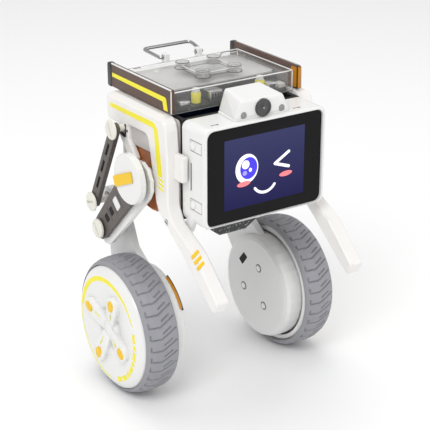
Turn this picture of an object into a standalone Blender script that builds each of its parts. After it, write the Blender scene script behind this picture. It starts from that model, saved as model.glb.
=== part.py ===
"""A two-wheeled balancing robot car on folding wheel-legs, with a screen head on its front.

Lengths in this file are in millimetres and become Blender's metres through MM. X runs across the car, the
screen faces -Y and +Z is up. Heights are above the floor, and the y values of the design are measured from
the wheels' axle, which AXLE_Y then puts where the whole car is centred over the origin. Across the car a
piece is given by its distances from the middle plane, and SIDES places it on the right (-X) or the left (+X).
"""

import math

import bmesh
import bpy
from mathutils import Vector

MM = 0.001
GAP = 0.3
SIDES = {"right": -1, "left": 1}

# Pivots of one leg, as (y, z): hip, rod pivot on the body, knee, rod pin on the shank, wheel.
HIP = (-9.0, 104.0)
ROD_PIVOT = (7.3, 121.0)
KNEE = (21.5, 70.5)
ROD_PIN = (27.2, 81.5)
WHEEL = (0.0, 31.8)

WHEEL_RADIUS = 31.2
TYRE_BORE = 28.5
TYRE_INNER, TYRE_OUTER = 34.4, 50.6
DISC_FACE = 53.2
DRUM_RADIUS = 25.0
DRUM_INNER, DRUM_OUTER = 27.0, 35.8
LOBE_CIRCLE = 14.8
LOBE_START_DEG = 24.0

SHANK_INNER, SHANK_OUTER = 30.0, 33.2
COVER_INNER, COVER_OUTER = 31.4, 38.0
THIGH_BAND = (39.4, 41.2)
THIGH_PLATE = (41.5, 43.4)
ROD_LAYER = (41.4, 43.6)
PIN_RADIUS = 1.6
PIN_HEAD_RADIUS = 4.5
ROD_PIN_PLAY = 1.6

HEAD_HALF = 30.8
HEAD_FRONT, HEAD_BACK = -44.3, -27.0
HEAD_BOTTOM, HEAD_TOP = 88.8, 132.2
GLASS_WIDTH, GLASS_HEIGHT = 58.2, 41.1
GLASS_FRONT = -43.3
SCREEN_Z = 110.3
BUTTON_Y = -38.0
BUTTON_HEIGHTS = {"upper": 123.6, "lower": 97.9}

CHASSIS_HALF = 29.8
CHASSIS_BACK, CHASSIS_FRONT = 22.0, -26.6
CHASSIS_BOTTOM, CHASSIS_TOP = 88.0, 131.8
COVER_TOP = 133.4
ROOF = 141.9
HATCH_TOP = 145.3
HOUSING_HALF = 31.1

ARM_TIP = (-64.5, 65.3)
HANDLE_PIVOT = (20.8, 144.2)
HANDLE_BAR = (33.5, 145.5)
HANDLE_WIRE = 0.8
# The arm tips reach furthest forward and the handle's bar furthest back.
AXLE_Y = (64.04 - HANDLE_BAR[0] - HANDLE_WIRE) / 2
FLOOR_Z = WHEEL[1] - WHEEL_RADIUS

WHITE = (0.86, 0.86, 0.85)
AMBER = (0.92, 0.52, 0.02)
BLACK = (0.02, 0.02, 0.022)
GRAPHITE = (0.12, 0.11, 0.10)


def new_collection(name, hidden=False):
    collection = bpy.data.collections.new(name)
    collection.hide_render = hidden
    bpy.context.scene.collection.children.link(collection)
    return collection


for old in list(bpy.data.objects):
    bpy.data.objects.remove(old, do_unlink=True)
PARTS = new_collection("two_wheel_robot_car")
CUTTERS = new_collection("cutters", hidden=True)


def place(x, y, z):
    """The point of the design at x, y and z, in Blender's metres above the floor."""
    return Vector((x, y + AXLE_Y, z - FLOOR_Z)) * MM


def paint(piece, colour, roughness=0.4, metallic=0.0, alpha=1.0):
    """Gives the piece its own Principled material."""
    material = bpy.data.materials.new(piece.name)
    material.use_nodes = True
    shader = material.node_tree.nodes["Principled BSDF"]
    shader.inputs["Base Color"].default_value = (*colour, 1.0)
    shader.inputs["Roughness"].default_value = roughness
    shader.inputs["Metallic"].default_value = metallic
    shader.inputs["Alpha"].default_value = alpha
    piece.data.materials.append(material)
    return piece


def new_piece(name, mesh, location, rotation=(0, 0, 0)):
    piece = bpy.data.objects.new(name, mesh)
    piece.location = location
    piece.rotation_euler = rotation
    PARTS.objects.link(piece)
    return piece


def bevel(piece, width, segments=2):
    modifier = piece.modifiers.new("bevel", "BEVEL")
    modifier.width = width * MM
    modifier.segments = segments
    modifier.limit_method = "ANGLE"
    modifier.angle_limit = math.radians(40)
    return piece


def block(name, x, y, z, edge=0.0, taper=None):
    """A box between the two values of x, y and z. taper scales its lower end in x and y."""
    mesh = bpy.data.meshes.new(name)
    work = bmesh.new()
    bmesh.ops.create_cube(work, size=1.0)
    size = [(high - low) * MM for low, high in (x, y, z)]
    bmesh.ops.scale(work, vec=size, verts=work.verts)
    if taper:
        lower = [vert for vert in work.verts if vert.co.z < 0]
        bmesh.ops.scale(work, vec=(*taper, 1.0), verts=lower)
    work.to_mesh(mesh)
    work.free()
    piece = new_piece(name, mesh, place(sum(x) / 2, sum(y) / 2, sum(z) / 2))
    return bevel(piece, edge) if edge else piece


def across(side, near, far):
    """The x span between two distances from the middle plane, on one side of the car."""
    return sorted((side * near, side * far))


def turned(name, profile, side, centre, steps=28):
    """A turned piece about an axis across the car. profile lists (radius, distance from the middle)."""
    area = sum(a[0] * b[1] - b[0] * a[1] for a, b in zip(profile, profile[1:] + profile[:1]))
    if area > 0:
        profile = profile[::-1]
    mesh = bpy.data.meshes.new(name)
    work = bmesh.new()
    verts = [work.verts.new((radius * MM, 0, height * MM)) for radius, height in profile]
    for first, second in zip(verts, verts[1:] + verts[:1]):
        if first.co.x > 0 or second.co.x > 0:
            work.edges.new((first, second))
    work.to_mesh(mesh)
    work.free()
    rotation = (0, side * math.radians(90), 0)
    piece = new_piece(name, mesh, place(0, *centre), rotation)
    screw = piece.modifiers.new("turn", "SCREW")
    screw.steps = screw.render_steps = steps
    screw.use_merge_vertices = True
    screw.merge_threshold = 0.00001
    return piece


def baked(piece):
    """The piece with its modifiers or its curve turned into a plain mesh, its caps welded."""
    graph = bpy.context.evaluated_depsgraph_get()
    mesh = bpy.data.meshes.new_from_object(piece.evaluated_get(graph))
    work = bmesh.new()
    work.from_mesh(mesh)
    bmesh.ops.remove_doubles(work, verts=work.verts, dist=0.000001)
    bmesh.ops.dissolve_limit(work, angle_limit=math.radians(0.5), verts=work.verts, edges=work.edges)
    work.to_mesh(mesh)
    work.free()
    name = piece.name
    location, rotation = piece.location.copy(), piece.rotation_euler.copy()
    bpy.data.objects.remove(piece, do_unlink=True)
    return new_piece(name, mesh, location, rotation)


def rounded(corners, steps=3):
    """Outline points from (a, b, radius) corners, each corner with a radius replaced by its arc."""
    points = []
    for index, (a, b, radius) in enumerate(corners):
        corner = Vector((a, b))
        if not radius:
            points.append(corner)
            continue
        before = (Vector(corners[index - 1][:2]) - corner).normalized()
        after = (Vector(corners[(index + 1) % len(corners)][:2]) - corner).normalized()
        half = before.angle(after) / 2
        middle = corner + (before + after).normalized() * radius / math.sin(half)
        start = corner + before * radius / math.tan(half) - middle
        end = corner + after * radius / math.tan(half) - middle
        turn = math.atan2(start.cross(end), start.dot(end))
        for step in range(steps + 1):
            angle = turn * step / steps
            cos, sin = math.cos(angle), math.sin(angle)
            points.append(middle + Vector((cos * start.x - sin * start.y, sin * start.x + cos * start.y)))
    return points


def circle(centre, radius, steps=20):
    return [
        Vector((centre[0] + radius * math.cos(angle), centre[1] + radius * math.sin(angle)))
        for angle in (2 * math.pi * step / steps for step in range(steps))
    ]


def band(ends, radii, steps=6):
    """The outline of a bar with a round end of its own radius about each of its two ends."""
    first, second = Vector(ends[0]), Vector(ends[1])
    along = second - first
    lean = math.acos((radii[0] - radii[1]) / along.length)
    heading = math.atan2(along.y, along.x)
    outline = []
    for centre, radius, start, sweep in (
        (second, radii[1], heading - lean, 2 * lean),
        (first, radii[0], heading + lean, 2 * math.pi - 2 * lean),
    ):
        for step in range(steps + 1):
            angle = start + sweep * step / steps
            outline.append(centre + radius * Vector((math.cos(angle), math.sin(angle))))
    return outline


def plate(name, outlines, x, edge=0.0, segments=2):
    """A flat piece across x, from (y, z) outlines: its outer one first, then its holes."""
    curve = bpy.data.curves.new(name, "CURVE")
    curve.dimensions = "2D"
    curve.fill_mode = "BOTH"
    curve.extrude = abs(x[1] - x[0]) / 2 * MM
    for outline in outlines:
        spline = curve.splines.new("POLY")
        spline.points.add(len(outline) - 1)
        spline.use_cyclic_u = True
        for point, (y, z) in zip(spline.points, outline):
            point.co = (y * MM, z * MM, 0, 1)
    piece = new_piece(name, curve, place(sum(x) / 2, 0, 0), (math.radians(90), 0, math.radians(90)))
    piece = baked(piece)
    return bevel(piece, edge, segments) if edge else piece


def combine(piece, tool, operation="DIFFERENCE"):
    """Cuts the tool from the piece, or joins it to it, and hides the tool among the cutters."""
    PARTS.objects.unlink(tool)
    CUTTERS.objects.link(tool)
    tool.name = f"{piece.name}_tool_{len(piece.modifiers)}"
    tool.hide_render = True
    tool.display_type = "WIRE"
    modifier = piece.modifiers.new(operation.lower(), "BOOLEAN")
    modifier.operation = operation
    modifier.object = tool
    return piece


def smooth(piece):
    piece.data.shade_smooth()
    piece.data.set_sharp_from_angle(angle=math.radians(35))
    return piece


def pivot(name, location):
    empty = bpy.data.objects.new(name, None)
    empty.location = location
    empty.empty_display_size = 0.01
    PARTS.objects.link(empty)
    return empty


def hang(piece, holder):
    """Parents the piece to the empty on its joint, leaving it where it is."""
    piece.parent = holder
    piece.matrix_parent_inverse = holder.matrix_basis.inverted()


# ---------------------------------------------------------------- wheels


def tyre(word, side):
    """A turned ring, a little crowned, that falls further on its outer side."""
    profile = [
        (TYRE_BORE, TYRE_INNER),
        (WHEEL_RADIUS - 1.8, TYRE_INNER),
        (WHEEL_RADIUS - 0.4, TYRE_INNER + 1.6),
        (WHEEL_RADIUS, TYRE_INNER + 5.0),
        (WHEEL_RADIUS, TYRE_OUTER - 6.8),
        (WHEEL_RADIUS - 0.8, TYRE_OUTER - 2.4),
        (WHEEL_RADIUS - 2.0, TYRE_OUTER - 0.6),
        (TYRE_BORE, TYRE_OUTER),
    ]
    piece = turned(f"{word}_tyre", profile, side, WHEEL, steps=40)
    return paint(piece, (0.42, 0.42, 0.45), roughness=0.8)


def wheel_hub(word, side):
    rim = TYRE_BORE - GAP
    barrel_start = 36.6
    profile = [
        (0, DISC_FACE),
        (24.5, DISC_FACE),
        (rim, 50.6),
        (rim, barrel_start),
        (26.6, barrel_start),
        (26.6, 50.4),
        (6.0, 50.4),
        (6.0, 47.4),
        (2.3, 47.4),
        (2.3, 51.0),
        (0, 51.0),
    ]
    piece = turned(f"{word}_wheel_hub", profile, side, WHEEL, steps=32)
    return paint(piece, WHITE, roughness=0.25)


def lobe_centres():
    for turn in range(4):
        angle = math.radians(LOBE_START_DEG + 90 * turn)
        yield angle, (WHEEL[0] + LOBE_CIRCLE * math.cos(angle), WHEEL[1] + LOBE_CIRCLE * math.sin(angle))


def hub_cap(word, side):
    """A flat cross whose four arms end in round lobes."""
    lobe, waist = 5.0, 7.0
    outline = []
    for angle, (y, z) in lobe_centres():
        for step in range(7):
            around = angle + math.radians(-115 + 230 * step / 6)
            outline.append((y + lobe * math.cos(around), z + lobe * math.sin(around)))
        between = angle + math.radians(45)
        outline.append((WHEEL[0] + waist * math.cos(between), WHEEL[1] + waist * math.sin(between)))
    piece = plate(f"{word}_hub_cap", [outline], across(side, DISC_FACE + GAP, 55.2))
    return paint(piece, WHITE, roughness=0.3)


def wheel_motor(word, side):
    profile = [(0, 50.7), (2.0, 50.7), (2.0, 46.3), (17, 46.3), (17, 36.1), (0, 36.1)]
    piece = turned(f"{word}_wheel_motor", profile, side, WHEEL, steps=24)
    return paint(piece, (0.45, 0.45, 0.47), roughness=0.35, metallic=1.0)


# ---------------------------------------------------------------- legs


def ring_boss(side, centre, radius, bore, near, far, steps=16):
    return turned("boss", [(bore, far), (radius, far), (radius, near), (bore, near)], side, centre, steps)


def shank(word, side):
    """The lower leg: a plate from the rod's ear past the knee down to the motor's drum."""
    outline = rounded(
        [
            (22.0, 40.0, 0),
            (31.1, 51.5, 5),
            (31.5, 66.0, 6),
            (32.8, 80.5, 0),
            (31.3, 85.1, 0),
            (27.2, 87.0, 0),
            (23.1, 85.1, 0),
            (21.0, 81.5, 4),
            (14.8, 72.5, 5),
            (10.1, 62.3, 4),
            (0.0, 56.0, 0),
            (-5.0, 40.0, 0),
        ]
    )
    knee_hole = circle(KNEE, 2.4, 16)
    ear_hole = circle(ROD_PIN, PIN_RADIUS + ROD_PIN_PLAY + 0.2, 16)
    name = f"{word}_shank"
    piece = plate(name, [outline, knee_hole, ear_hole], across(side, SHANK_INNER, SHANK_OUTER))
    fillet = 2.4
    drum = [
        (0, DRUM_OUTER),
        (DRUM_RADIUS, DRUM_OUTER),
        (DRUM_RADIUS, DRUM_INNER + fillet),
        (DRUM_RADIUS - fillet * 0.3, DRUM_INNER + fillet * 0.3),
        (DRUM_RADIUS - fillet, DRUM_INNER),
        (0, DRUM_INNER),
    ]
    knee_boss = ring_boss(side, KNEE, 4.4, 2.2, SHANK_OUTER - 1, THIGH_BAND[0] - GAP)
    ear_boss = ring_boss(side, ROD_PIN, 5.4, PIN_RADIUS + ROD_PIN_PLAY, SHANK_OUTER - 1, 36.0)
    combine(piece, turned("drum", drum, side, WHEEL, 32), "UNION")
    combine(piece, knee_boss, "UNION")
    combine(piece, ear_boss, "UNION")
    return paint(piece, (0.80, 0.80, 0.81), roughness=0.35)


def knee_pin(word, side):
    profile = [
        (0, 45.6),
        (PIN_HEAD_RADIUS, 45.6),
        (PIN_HEAD_RADIUS, THIGH_PLATE[1] + GAP),
        (1.9, THIGH_PLATE[1] + GAP),
        (1.9, SHANK_INNER + 0.5),
        (0, SHANK_INNER + 0.5),
    ]
    piece = turned(f"{word}_knee_pin", profile, side, KNEE, steps=20)
    return paint(piece, (0.82, 0.80, 0.74), roughness=0.4)


def along_thigh(distance, offset):
    """A point at a distance from the hip towards the knee, and an offset to the rear of that line."""
    first, second = Vector(HIP), Vector(KNEE)
    heading = (second - first).normalized()
    return first + heading * distance + Vector((-heading.y, heading.x)) * offset


def thigh_window(distance, length, width):
    """A rectangular window in the thigh, length along it and width across it."""
    return [
        along_thigh(distance + sign_a * length / 2, sign_b * width / 2)
        for sign_a, sign_b in ((-1, -1), (1, -1), (1, 1), (-1, 1))
    ]


def thigh_plate(word, side):
    """The dark truss plate of the upper leg, with three windows above the knee."""
    outlines = [
        band((HIP, KNEE), (7.2, 5.2)),
        circle(HIP, 3.8, 16),
        circle(KNEE, 2.2, 16),
        thigh_window(22.5, 3.4, 5.4),
        thigh_window(29.5, 3.4, 3.6),
        thigh_window(35.6, 3.4, 3.4),
    ]
    piece = plate(f"{word}_thigh_plate", outlines, across(side, *THIGH_PLATE))
    return paint(piece, GRAPHITE, roughness=0.45)


def thigh_band(word, side):
    """The white inner plate of the upper leg, which shows along the front of the dark one."""
    shift = Vector((-1.5, -1.5))
    ends = (Vector(HIP) + shift, Vector(KNEE) + shift)
    outlines = [band(ends, (9.0, 6.2)), circle(HIP, 3.8, 16), circle(KNEE, 2.2, 16)]
    piece = plate(f"{word}_thigh_band", outlines, across(side, *THIGH_BAND))
    return paint(piece, WHITE, roughness=0.35)


def hip_cap(word, side):
    """The disc over the hip, in one piece with the splined shaft behind it."""
    back = THIGH_PLATE[1] + GAP
    shaft = 3.5
    profile = [
        (0, 46.8),
        (10.6, 46.8),
        (11.1, 46.3),
        (11.1, back),
        (shaft, back),
        (shaft, 35.6),
        (0, 35.6),
    ]
    piece = turned(f"{word}_hip_cap", profile, side, HIP)
    return paint(piece, WHITE, roughness=0.3)


def hip_cap_bar(word, side):
    half_length, half_width, lean = 8.0, 2.4, math.radians(-23)
    middle = Vector((HIP[0] + 2.4, HIP[1] - 0.6))
    corners = []
    for sign_a, sign_b in ((-1, -1), (1, -1), (1, 1), (-1, 1)):
        a, b = sign_a * half_length, sign_b * half_width
        y = middle.x + a * math.cos(lean) - b * math.sin(lean)
        z = middle.y + a * math.sin(lean) + b * math.cos(lean)
        corners.append((y, z, 0.8))
    piece = plate(f"{word}_hip_cap_bar", [rounded(corners, 2)], across(side, 46.8 + GAP, 47.5))
    return paint(piece, AMBER, roughness=0.35)


def rod_link(word, side):
    first, second = Vector(ROD_PIVOT), Vector(ROD_PIN)
    heading = (second - first).normalized()
    across_rod = Vector((-heading.y, heading.x))
    outlines = [
        band((first, second), (2.7, 2.7)),
        circle(ROD_PIVOT, PIN_RADIUS + GAP, 16),
        circle(ROD_PIN, PIN_RADIUS + GAP, 16),
    ]
    for middle in (12.0, 22.0, 32.0):
        slot = [
            first + heading * (middle + sign_a * 3.4) + across_rod * sign_b * 0.8
            for sign_a, sign_b in ((-1, -1), (1, -1), (1, 1), (-1, 1))
        ]
        outlines.append(slot)
    piece = plate(f"{word}_rod_link", outlines, across(side, *ROD_LAYER))
    return paint(piece, GRAPHITE, roughness=0.45)


def headed_pin(name, side, centre, inner_end):
    head = ROD_LAYER[1] + GAP
    profile = [
        (0, head + 1.3),
        (PIN_HEAD_RADIUS, head + 1.3),
        (PIN_HEAD_RADIUS, head),
        (PIN_RADIUS, head),
        (PIN_RADIUS, inner_end),
        (0, inner_end),
    ]
    return paint(turned(name, profile, side, centre, 20), (0.82, 0.80, 0.74), roughness=0.4)


# ---------------------------------------------------------------- body


def side_cover(word, side):
    """An arch over the hip that runs on as an arm to the front, with a post that carries the pivots."""
    outline = rounded(
        [
            (22.0, COVER_TOP, 2),
            (-25.8, COVER_TOP, 6),
            (-27.3, 116.0, 0),
            (-27.3, 95.0, 6),
            (-30.6, 89.2, 6),
            (-47.2, 81.0, 8),
            (*ARM_TIP, 1.5),
            (-61.4, 59.4, 1.5),
            (-54.7, 64.4, 0),
            (-36.7, 78.7, 0),
            (-19.6, 90.9, 4),
            (-17.6, 95.0, 0),
            (-13.4, 115.8, 0),
            (-11.6, 122.8, 3),
            (4.2, 122.6, 1.5),
            (3.8, 116.5, 0),
            (-2.5, 109.0, 1.5),
            (1.5, 105.5, 1.5),
            (11.8, 116.0, 3),
            (12.8, 121.2, 0),
            (22.0, 121.2, 2),
        ]
    )
    piece = plate(f"{word}_side_cover", [outline], across(side, COVER_INNER, COVER_OUTER), edge=0.8, segments=1)
    pocket = [(0, 35.6), (17.0, 35.6), (17.0, COVER_INNER - 2), (0, COVER_INNER - 2)]
    combine(piece, turned("pocket", pocket, side, HIP, 24))
    tab = block("tab", across(side, COVER_INNER, 34.6), (-33.6, -26.5), (107.0, 118.4), edge=0.8)
    combine(piece, tab, "UNION")
    combine(piece, top_slope(side))
    return paint(piece, WHITE, roughness=0.3)


def top_slope(side):
    """The wedge that is cut from a cover's top, so that it slopes down to its outer face."""
    near, far, top, foot = 34.2, 40.0, COVER_TOP + 0.6, 130.0
    wedge = block("slope", across(side, near, far), (-40, 40), (foot, top))
    work = bmesh.new()
    work.from_mesh(wedge.data)
    for vert in work.verts:
        if vert.co.z < 0 and vert.co.x * side < 0:
            vert.co.x += side * (far - near - 0.1) * MM
    work.to_mesh(wedge.data)
    work.free()
    return wedge


def chassis_frame():
    piece = block(
        "chassis_frame",
        (-CHASSIS_HALF, CHASSIS_HALF),
        (CHASSIS_FRONT, CHASSIS_BACK),
        (CHASSIS_BOTTOM, CHASSIS_TOP),
    )
    wall = 2.0
    inside = block(
        "inside",
        (-CHASSIS_HALF + wall, CHASSIS_HALF - wall),
        (CHASSIS_FRONT + wall, CHASSIS_BACK - wall),
        (CHASSIS_BOTTOM + wall, CHASSIS_TOP + 5),
    )
    combine(piece, inside)
    necks = [(0, 40), (5.5, 40), (5.5, -40), (0, -40)]
    combine(piece, turned("necks", necks, 1, HIP, 20))
    return paint(piece, BLACK, roughness=0.5)


def inner_panel(word, side):
    outline = rounded(
        [(20.5, 131.4, 2), (-25.5, 131.4, 2), (-25.5, 92.0, 3), (-14.0, 88.3, 3), (14.0, 88.3, 3), (20.5, 96.0, 3)]
    )
    outlines = [outline, circle(HIP, 5.5, 20)]
    piece = plate(f"{word}_inner_panel", outlines, across(side, CHASSIS_HALF + GAP, 31.1))
    return paint(piece, (0.72, 0.70, 0.67), roughness=0.4)


def servo_gearbox(word, side):
    profile = [(0, 35.2), (15.6, 35.2), (16.5, 34.3), (16.5, 31.4), (5.2, 31.4), (5.2, 27.3), (0, 27.3)]
    piece = turned(f"{word}_servo_gearbox", profile, side, HIP)
    return paint(piece, (0.30, 0.10, 0.02), roughness=0.3, alpha=0.85)


def leg_servo(word, side):
    piece = block(f"{word}_leg_servo", across(side, 5.0, 27.0), (-21.0, 1.5), (93.5, 114.5), edge=0.8)
    return paint(piece, BLACK, roughness=0.4)


def belly_pan():
    top = (26.0, 87.7)
    keel = (7.0, 73.0)
    piece = block("belly_pan", (-top[0], top[0]), (-23.0, 19.0), (keel[1], top[1]), taper=(keel[0] / top[0], 0.85))
    return paint(piece, (0.10, 0.10, 0.105), roughness=0.7)


def battery_pack():
    piece = block("battery_pack", (-24, 24), (2.5, 19.0), (91.0, 126.0), edge=1.0)
    return paint(piece, (0.05, 0.10, 0.30), roughness=0.4)


def speaker():
    piece = block("speaker", (-11, 11), (-22.0, -2.0), (116.0, 121.0), edge=1.0)
    return paint(piece, BLACK, roughness=0.5)


# ---------------------------------------------------------------- head


def front_outline_block(name, width, height, y, radius, centre_z):
    """A rounded rectangle facing the front, between the two values of y."""
    piece = block(name, (-width / 2, width / 2), y, (centre_z - height / 2, centre_z + height / 2))
    work = bmesh.new()
    work.from_mesh(piece.data)
    upright = [edge for edge in work.edges if abs((edge.verts[0].co - edge.verts[1].co).normalized().y) > 0.9]
    bmesh.ops.bevel(work, geom=upright, offset=radius * MM, segments=4, profile=0.5, affect="EDGES")
    work.to_mesh(piece.data)
    work.free()
    return piece


def head_shell():
    centre_z = (HEAD_BOTTOM + HEAD_TOP) / 2
    piece = front_outline_block(
        "head_shell", 2 * HEAD_HALF, HEAD_TOP - HEAD_BOTTOM, (HEAD_FRONT, HEAD_BACK), 3.0, centre_z
    )
    bevel(piece, 1.0)
    ledge = GLASS_FRONT + 1.3
    recess = front_outline_block(
        "recess", GLASS_WIDTH + 0.6, GLASS_HEIGHT + 0.6, (HEAD_FRONT - 2, ledge), 3.3, SCREEN_Z
    )
    combine(piece, recess)
    combine(piece, block("hollow", (-27, 27), (HEAD_FRONT, HEAD_BACK - 2), (SCREEN_Z - 18.5, SCREEN_Z + 18.5)))
    for height in BUTTON_HEIGHTS.values():
        slots = block("slots", (-40, 40), (BUTTON_Y - 4.3, BUTTON_Y + 4.3), (height - 2.5, height + 2.5))
        combine(piece, slots)
    for side in SIDES.values():
        groove = block("groove", across(side, HEAD_HALF - 1.2, HEAD_HALF + 1), (-34.8, -33.6), (103.7, 115.8))
        combine(piece, groove)
    for x in (-22.9, 18.5):
        combine(piece, block("slit", (x - 1.8, x + 1.8), (-40.4, -39.6), (HEAD_TOP - 1, HEAD_TOP + 1)))
    return paint(piece, WHITE, roughness=0.3)


def head_button(word, side, level, height):
    """A springy tongue with a round nub, in its slot in the head's side."""
    name = f"{word}_{level}_button"
    tongue = block(name, across(side, 28.9, HEAD_HALF), (BUTTON_Y - 4.0, BUTTON_Y + 4.0), (height - 2.2, height + 2.2))
    nub = [(0, 31.5), (1.5, 31.5), (1.9, 31.1), (1.9, 30.0), (0, 30.0)]
    combine(tongue, turned("nub", nub, side, (BUTTON_Y + 2.1, height), 16), "UNION")
    return paint(tongue, WHITE, roughness=0.3)


def screen_glass():
    piece = front_outline_block(
        "screen_glass", GLASS_WIDTH, GLASS_HEIGHT, (GLASS_FRONT, GLASS_FRONT + 1.0), 3.0, SCREEN_Z
    )
    return paint(piece, (0.012, 0.012, 0.014), roughness=0.08)


def display_module():
    piece = block("display_module", (-25, 25), (-41.8, -38.6), (SCREEN_Z - 17.5, SCREEN_Z + 17.5), edge=0.4)
    return paint(piece, (0.03, 0.03, 0.14), roughness=0.2)


def camera_housing():
    """The hump on the head that flares towards its foot, with a pocket for the lens."""
    foot, lip = HEAD_TOP + GAP, 140.2
    piece = block("camera_housing", (-10.5, 10.5), (-41.3, -26.0), (foot, lip), taper=(1.35, 1.0))
    work = bmesh.new()
    work.from_mesh(piece.data)
    for vert in work.verts:
        if vert.co.y > 0:
            vert.co.x *= 0.85
            vert.co.z += 1.8 * MM if vert.co.z > 0 else 0
    work.to_mesh(piece.data)
    work.free()
    bevel(piece, 1.0)
    pocket = lens_block("pocket", 3.8, (-45.0, -39.3))
    combine(piece, pocket)
    return paint(piece, WHITE, roughness=0.3)


def lens_block(name, radius, y):
    """A round piece on the lens's axis, between the two values of y."""
    mesh = bpy.data.meshes.new(name)
    work = bmesh.new()
    bmesh.ops.create_cone(
        work, cap_ends=True, segments=24, radius1=radius * MM, radius2=radius * MM, depth=(y[1] - y[0]) * MM
    )
    work.to_mesh(mesh)
    work.free()
    return new_piece(name, mesh, place(0, sum(y) / 2, 136.0), (math.radians(90), 0, 0))


def camera_lens():
    piece = bevel(lens_block("camera_lens", 3.5, (-42.0, -39.6)), 0.3, 1)
    return paint(piece, BLACK, roughness=0.05)


# ---------------------------------------------------------------- roof


def top_housing():
    """The clear box on the roof, open underneath."""
    front, back, foot, wall = -20.1, 22.0, CHASSIS_TOP + 0.4, 1.5
    piece = block("top_housing", (-HOUSING_HALF, HOUSING_HALF), (front, back), (foot, ROOF), edge=1.0)
    inside = block(
        "inside", (-HOUSING_HALF + wall, HOUSING_HALF - wall), (front + wall, back - wall), (foot - 5, ROOF - wall)
    )
    combine(piece, inside)
    return paint(piece, (0.9, 0.9, 0.9), roughness=0.05, alpha=0.35)


def top_hatch():
    piece = block("top_hatch", (-9.5, 9.5), (-9.0, 8.0), (ROOF + GAP, HATCH_TOP), edge=0.6)
    return paint(piece, (0.85, 0.85, 0.85), roughness=0.05, alpha=0.4)


def side_window(word, side):
    """The smoked plate along each side of the clear box, which stands proud of it at both ends."""
    foot, top = COVER_TOP + GAP, 144.2
    outline = rounded([(-23.5, foot, 1), (28.5, foot, 1), (28.5, top, 1), (-23.5, top, 1)])
    piece = plate(f"{word}_side_window", [outline], across(side, HOUSING_HALF + GAP, 33.2), edge=0.3)
    return paint(piece, (0.16, 0.09, 0.06), roughness=0.1, alpha=0.7)


def main_board():
    piece = block("main_board", (-29.2, 29.2), (-18.2, 20.1), (CHASSIS_TOP + 0.4, 133.8))
    return paint(piece, (0.03, 0.05, 0.04), roughness=0.5)


def compute_module():
    piece = block("compute_module", (-12, 12), (-9, 11), (133.8 + GAP, 138.0), edge=0.5)
    return paint(piece, (0.35, 0.36, 0.37), roughness=0.4, metallic=0.8)


def handle_clip(word, side):
    """A block on the roof that takes one of the handle's turned-in ends."""
    piece = block(f"{word}_handle_clip", across(side, 7.4, 9.8), (18.6, 22.0), (ROOF + GAP, 146.2), edge=0.4)
    combine(piece, turned("bore", [(0, 15), (1.1, 15), (1.1, -15), (0, -15)], 1, HANDLE_PIVOT, 16))
    return paint(piece, (0.75, 0.76, 0.78), roughness=0.2, alpha=0.6)


def carry_handle():
    """A bail of round wire, its two ends turned inwards into the clips."""
    pin_end, bend, bar_end = 7.0, 10.8, 12.2
    half = [
        (pin_end, *HANDLE_PIVOT),
        (bend - 0.8, *HANDLE_PIVOT),
        (bend, HANDLE_PIVOT[0] + 0.9, HANDLE_PIVOT[1]),
        (bar_end, HANDLE_BAR[0] - 1.2, HANDLE_BAR[1]),
        (bar_end - 0.4, HANDLE_BAR[0] - 0.35, HANDLE_BAR[1]),
        (bar_end - 1.4, *HANDLE_BAR),
    ]
    route = half + [(-x, y, z) for x, y, z in reversed(half)]
    curve = bpy.data.curves.new("carry_handle", "CURVE")
    curve.dimensions = "3D"
    curve.bevel_depth = HANDLE_WIRE * MM
    curve.bevel_resolution = 2
    curve.use_fill_caps = True
    spline = curve.splines.new("POLY")
    spline.points.add(len(route) - 1)
    for point, (x, y, z) in zip(spline.points, route):
        point.co = (*(Vector((x, y - HANDLE_PIVOT[0], z - HANDLE_PIVOT[1])) * MM), 1)
    piece = new_piece("carry_handle", curve, place(0, *HANDLE_PIVOT))
    return paint(piece, (0.6, 0.6, 0.62), roughness=0.25, metallic=1.0)


# ---------------------------------------------------------------- assembly


def build_leg(word, side):
    hip = pivot(f"{word}_hip_joint", place(0, *HIP))
    knee = pivot(f"{word}_knee_joint", place(0, *KNEE))
    rod = pivot(f"{word}_rod_joint", place(0, *ROD_PIVOT))
    wheel = pivot(f"{word}_wheel_joint", place(0, *WHEEL))
    pieces = {
        hip: (thigh_plate, thigh_band, hip_cap, hip_cap_bar),
        knee: (shank, knee_pin, wheel_motor),
        wheel: (tyre, wheel_hub, hub_cap),
        rod: (rod_link,),
    }
    for holder, makers in pieces.items():
        for maker in makers:
            hang(smooth(maker(word, side)), holder)
    hang(smooth(headed_pin(f"{word}_rod_pin", side, ROD_PIN, 31.0)), rod)
    smooth(headed_pin(f"{word}_pivot_pin", side, ROD_PIVOT, COVER_OUTER + GAP))


def build_body():
    for word, side in SIDES.items():
        for maker in (side_cover, inner_panel, servo_gearbox, leg_servo, side_window, handle_clip):
            smooth(maker(word, side))
        for level, height in BUTTON_HEIGHTS.items():
            slot = pivot(f"{word}_{level}_button_slide", place(side * HEAD_HALF, BUTTON_Y, height))
            hang(smooth(head_button(word, side, level, height)), slot)
    for maker in (
        chassis_frame,
        belly_pan,
        battery_pack,
        speaker,
        head_shell,
        screen_glass,
        display_module,
        camera_housing,
        camera_lens,
        top_housing,
        top_hatch,
        main_board,
        compute_module,
    ):
        smooth(maker())
    hang(carry_handle(), pivot("handle_joint", place(0, *HANDLE_PIVOT)))


build_body()
for side_word, side_sign in SIDES.items():
    build_leg(side_word, side_sign)
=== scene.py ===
"""The looks of the two-wheeled balancing robot car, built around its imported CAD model.

Lengths are in millimetres until MM turns them into metres. X runs across the car, the screen faces -Y and
+Z is up. side is -1 on the robot's own right (-X) and 1 on its left.
"""
import math

import bmesh
import bpy
import numpy as np
from mathutils import Matrix, Vector


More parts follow.
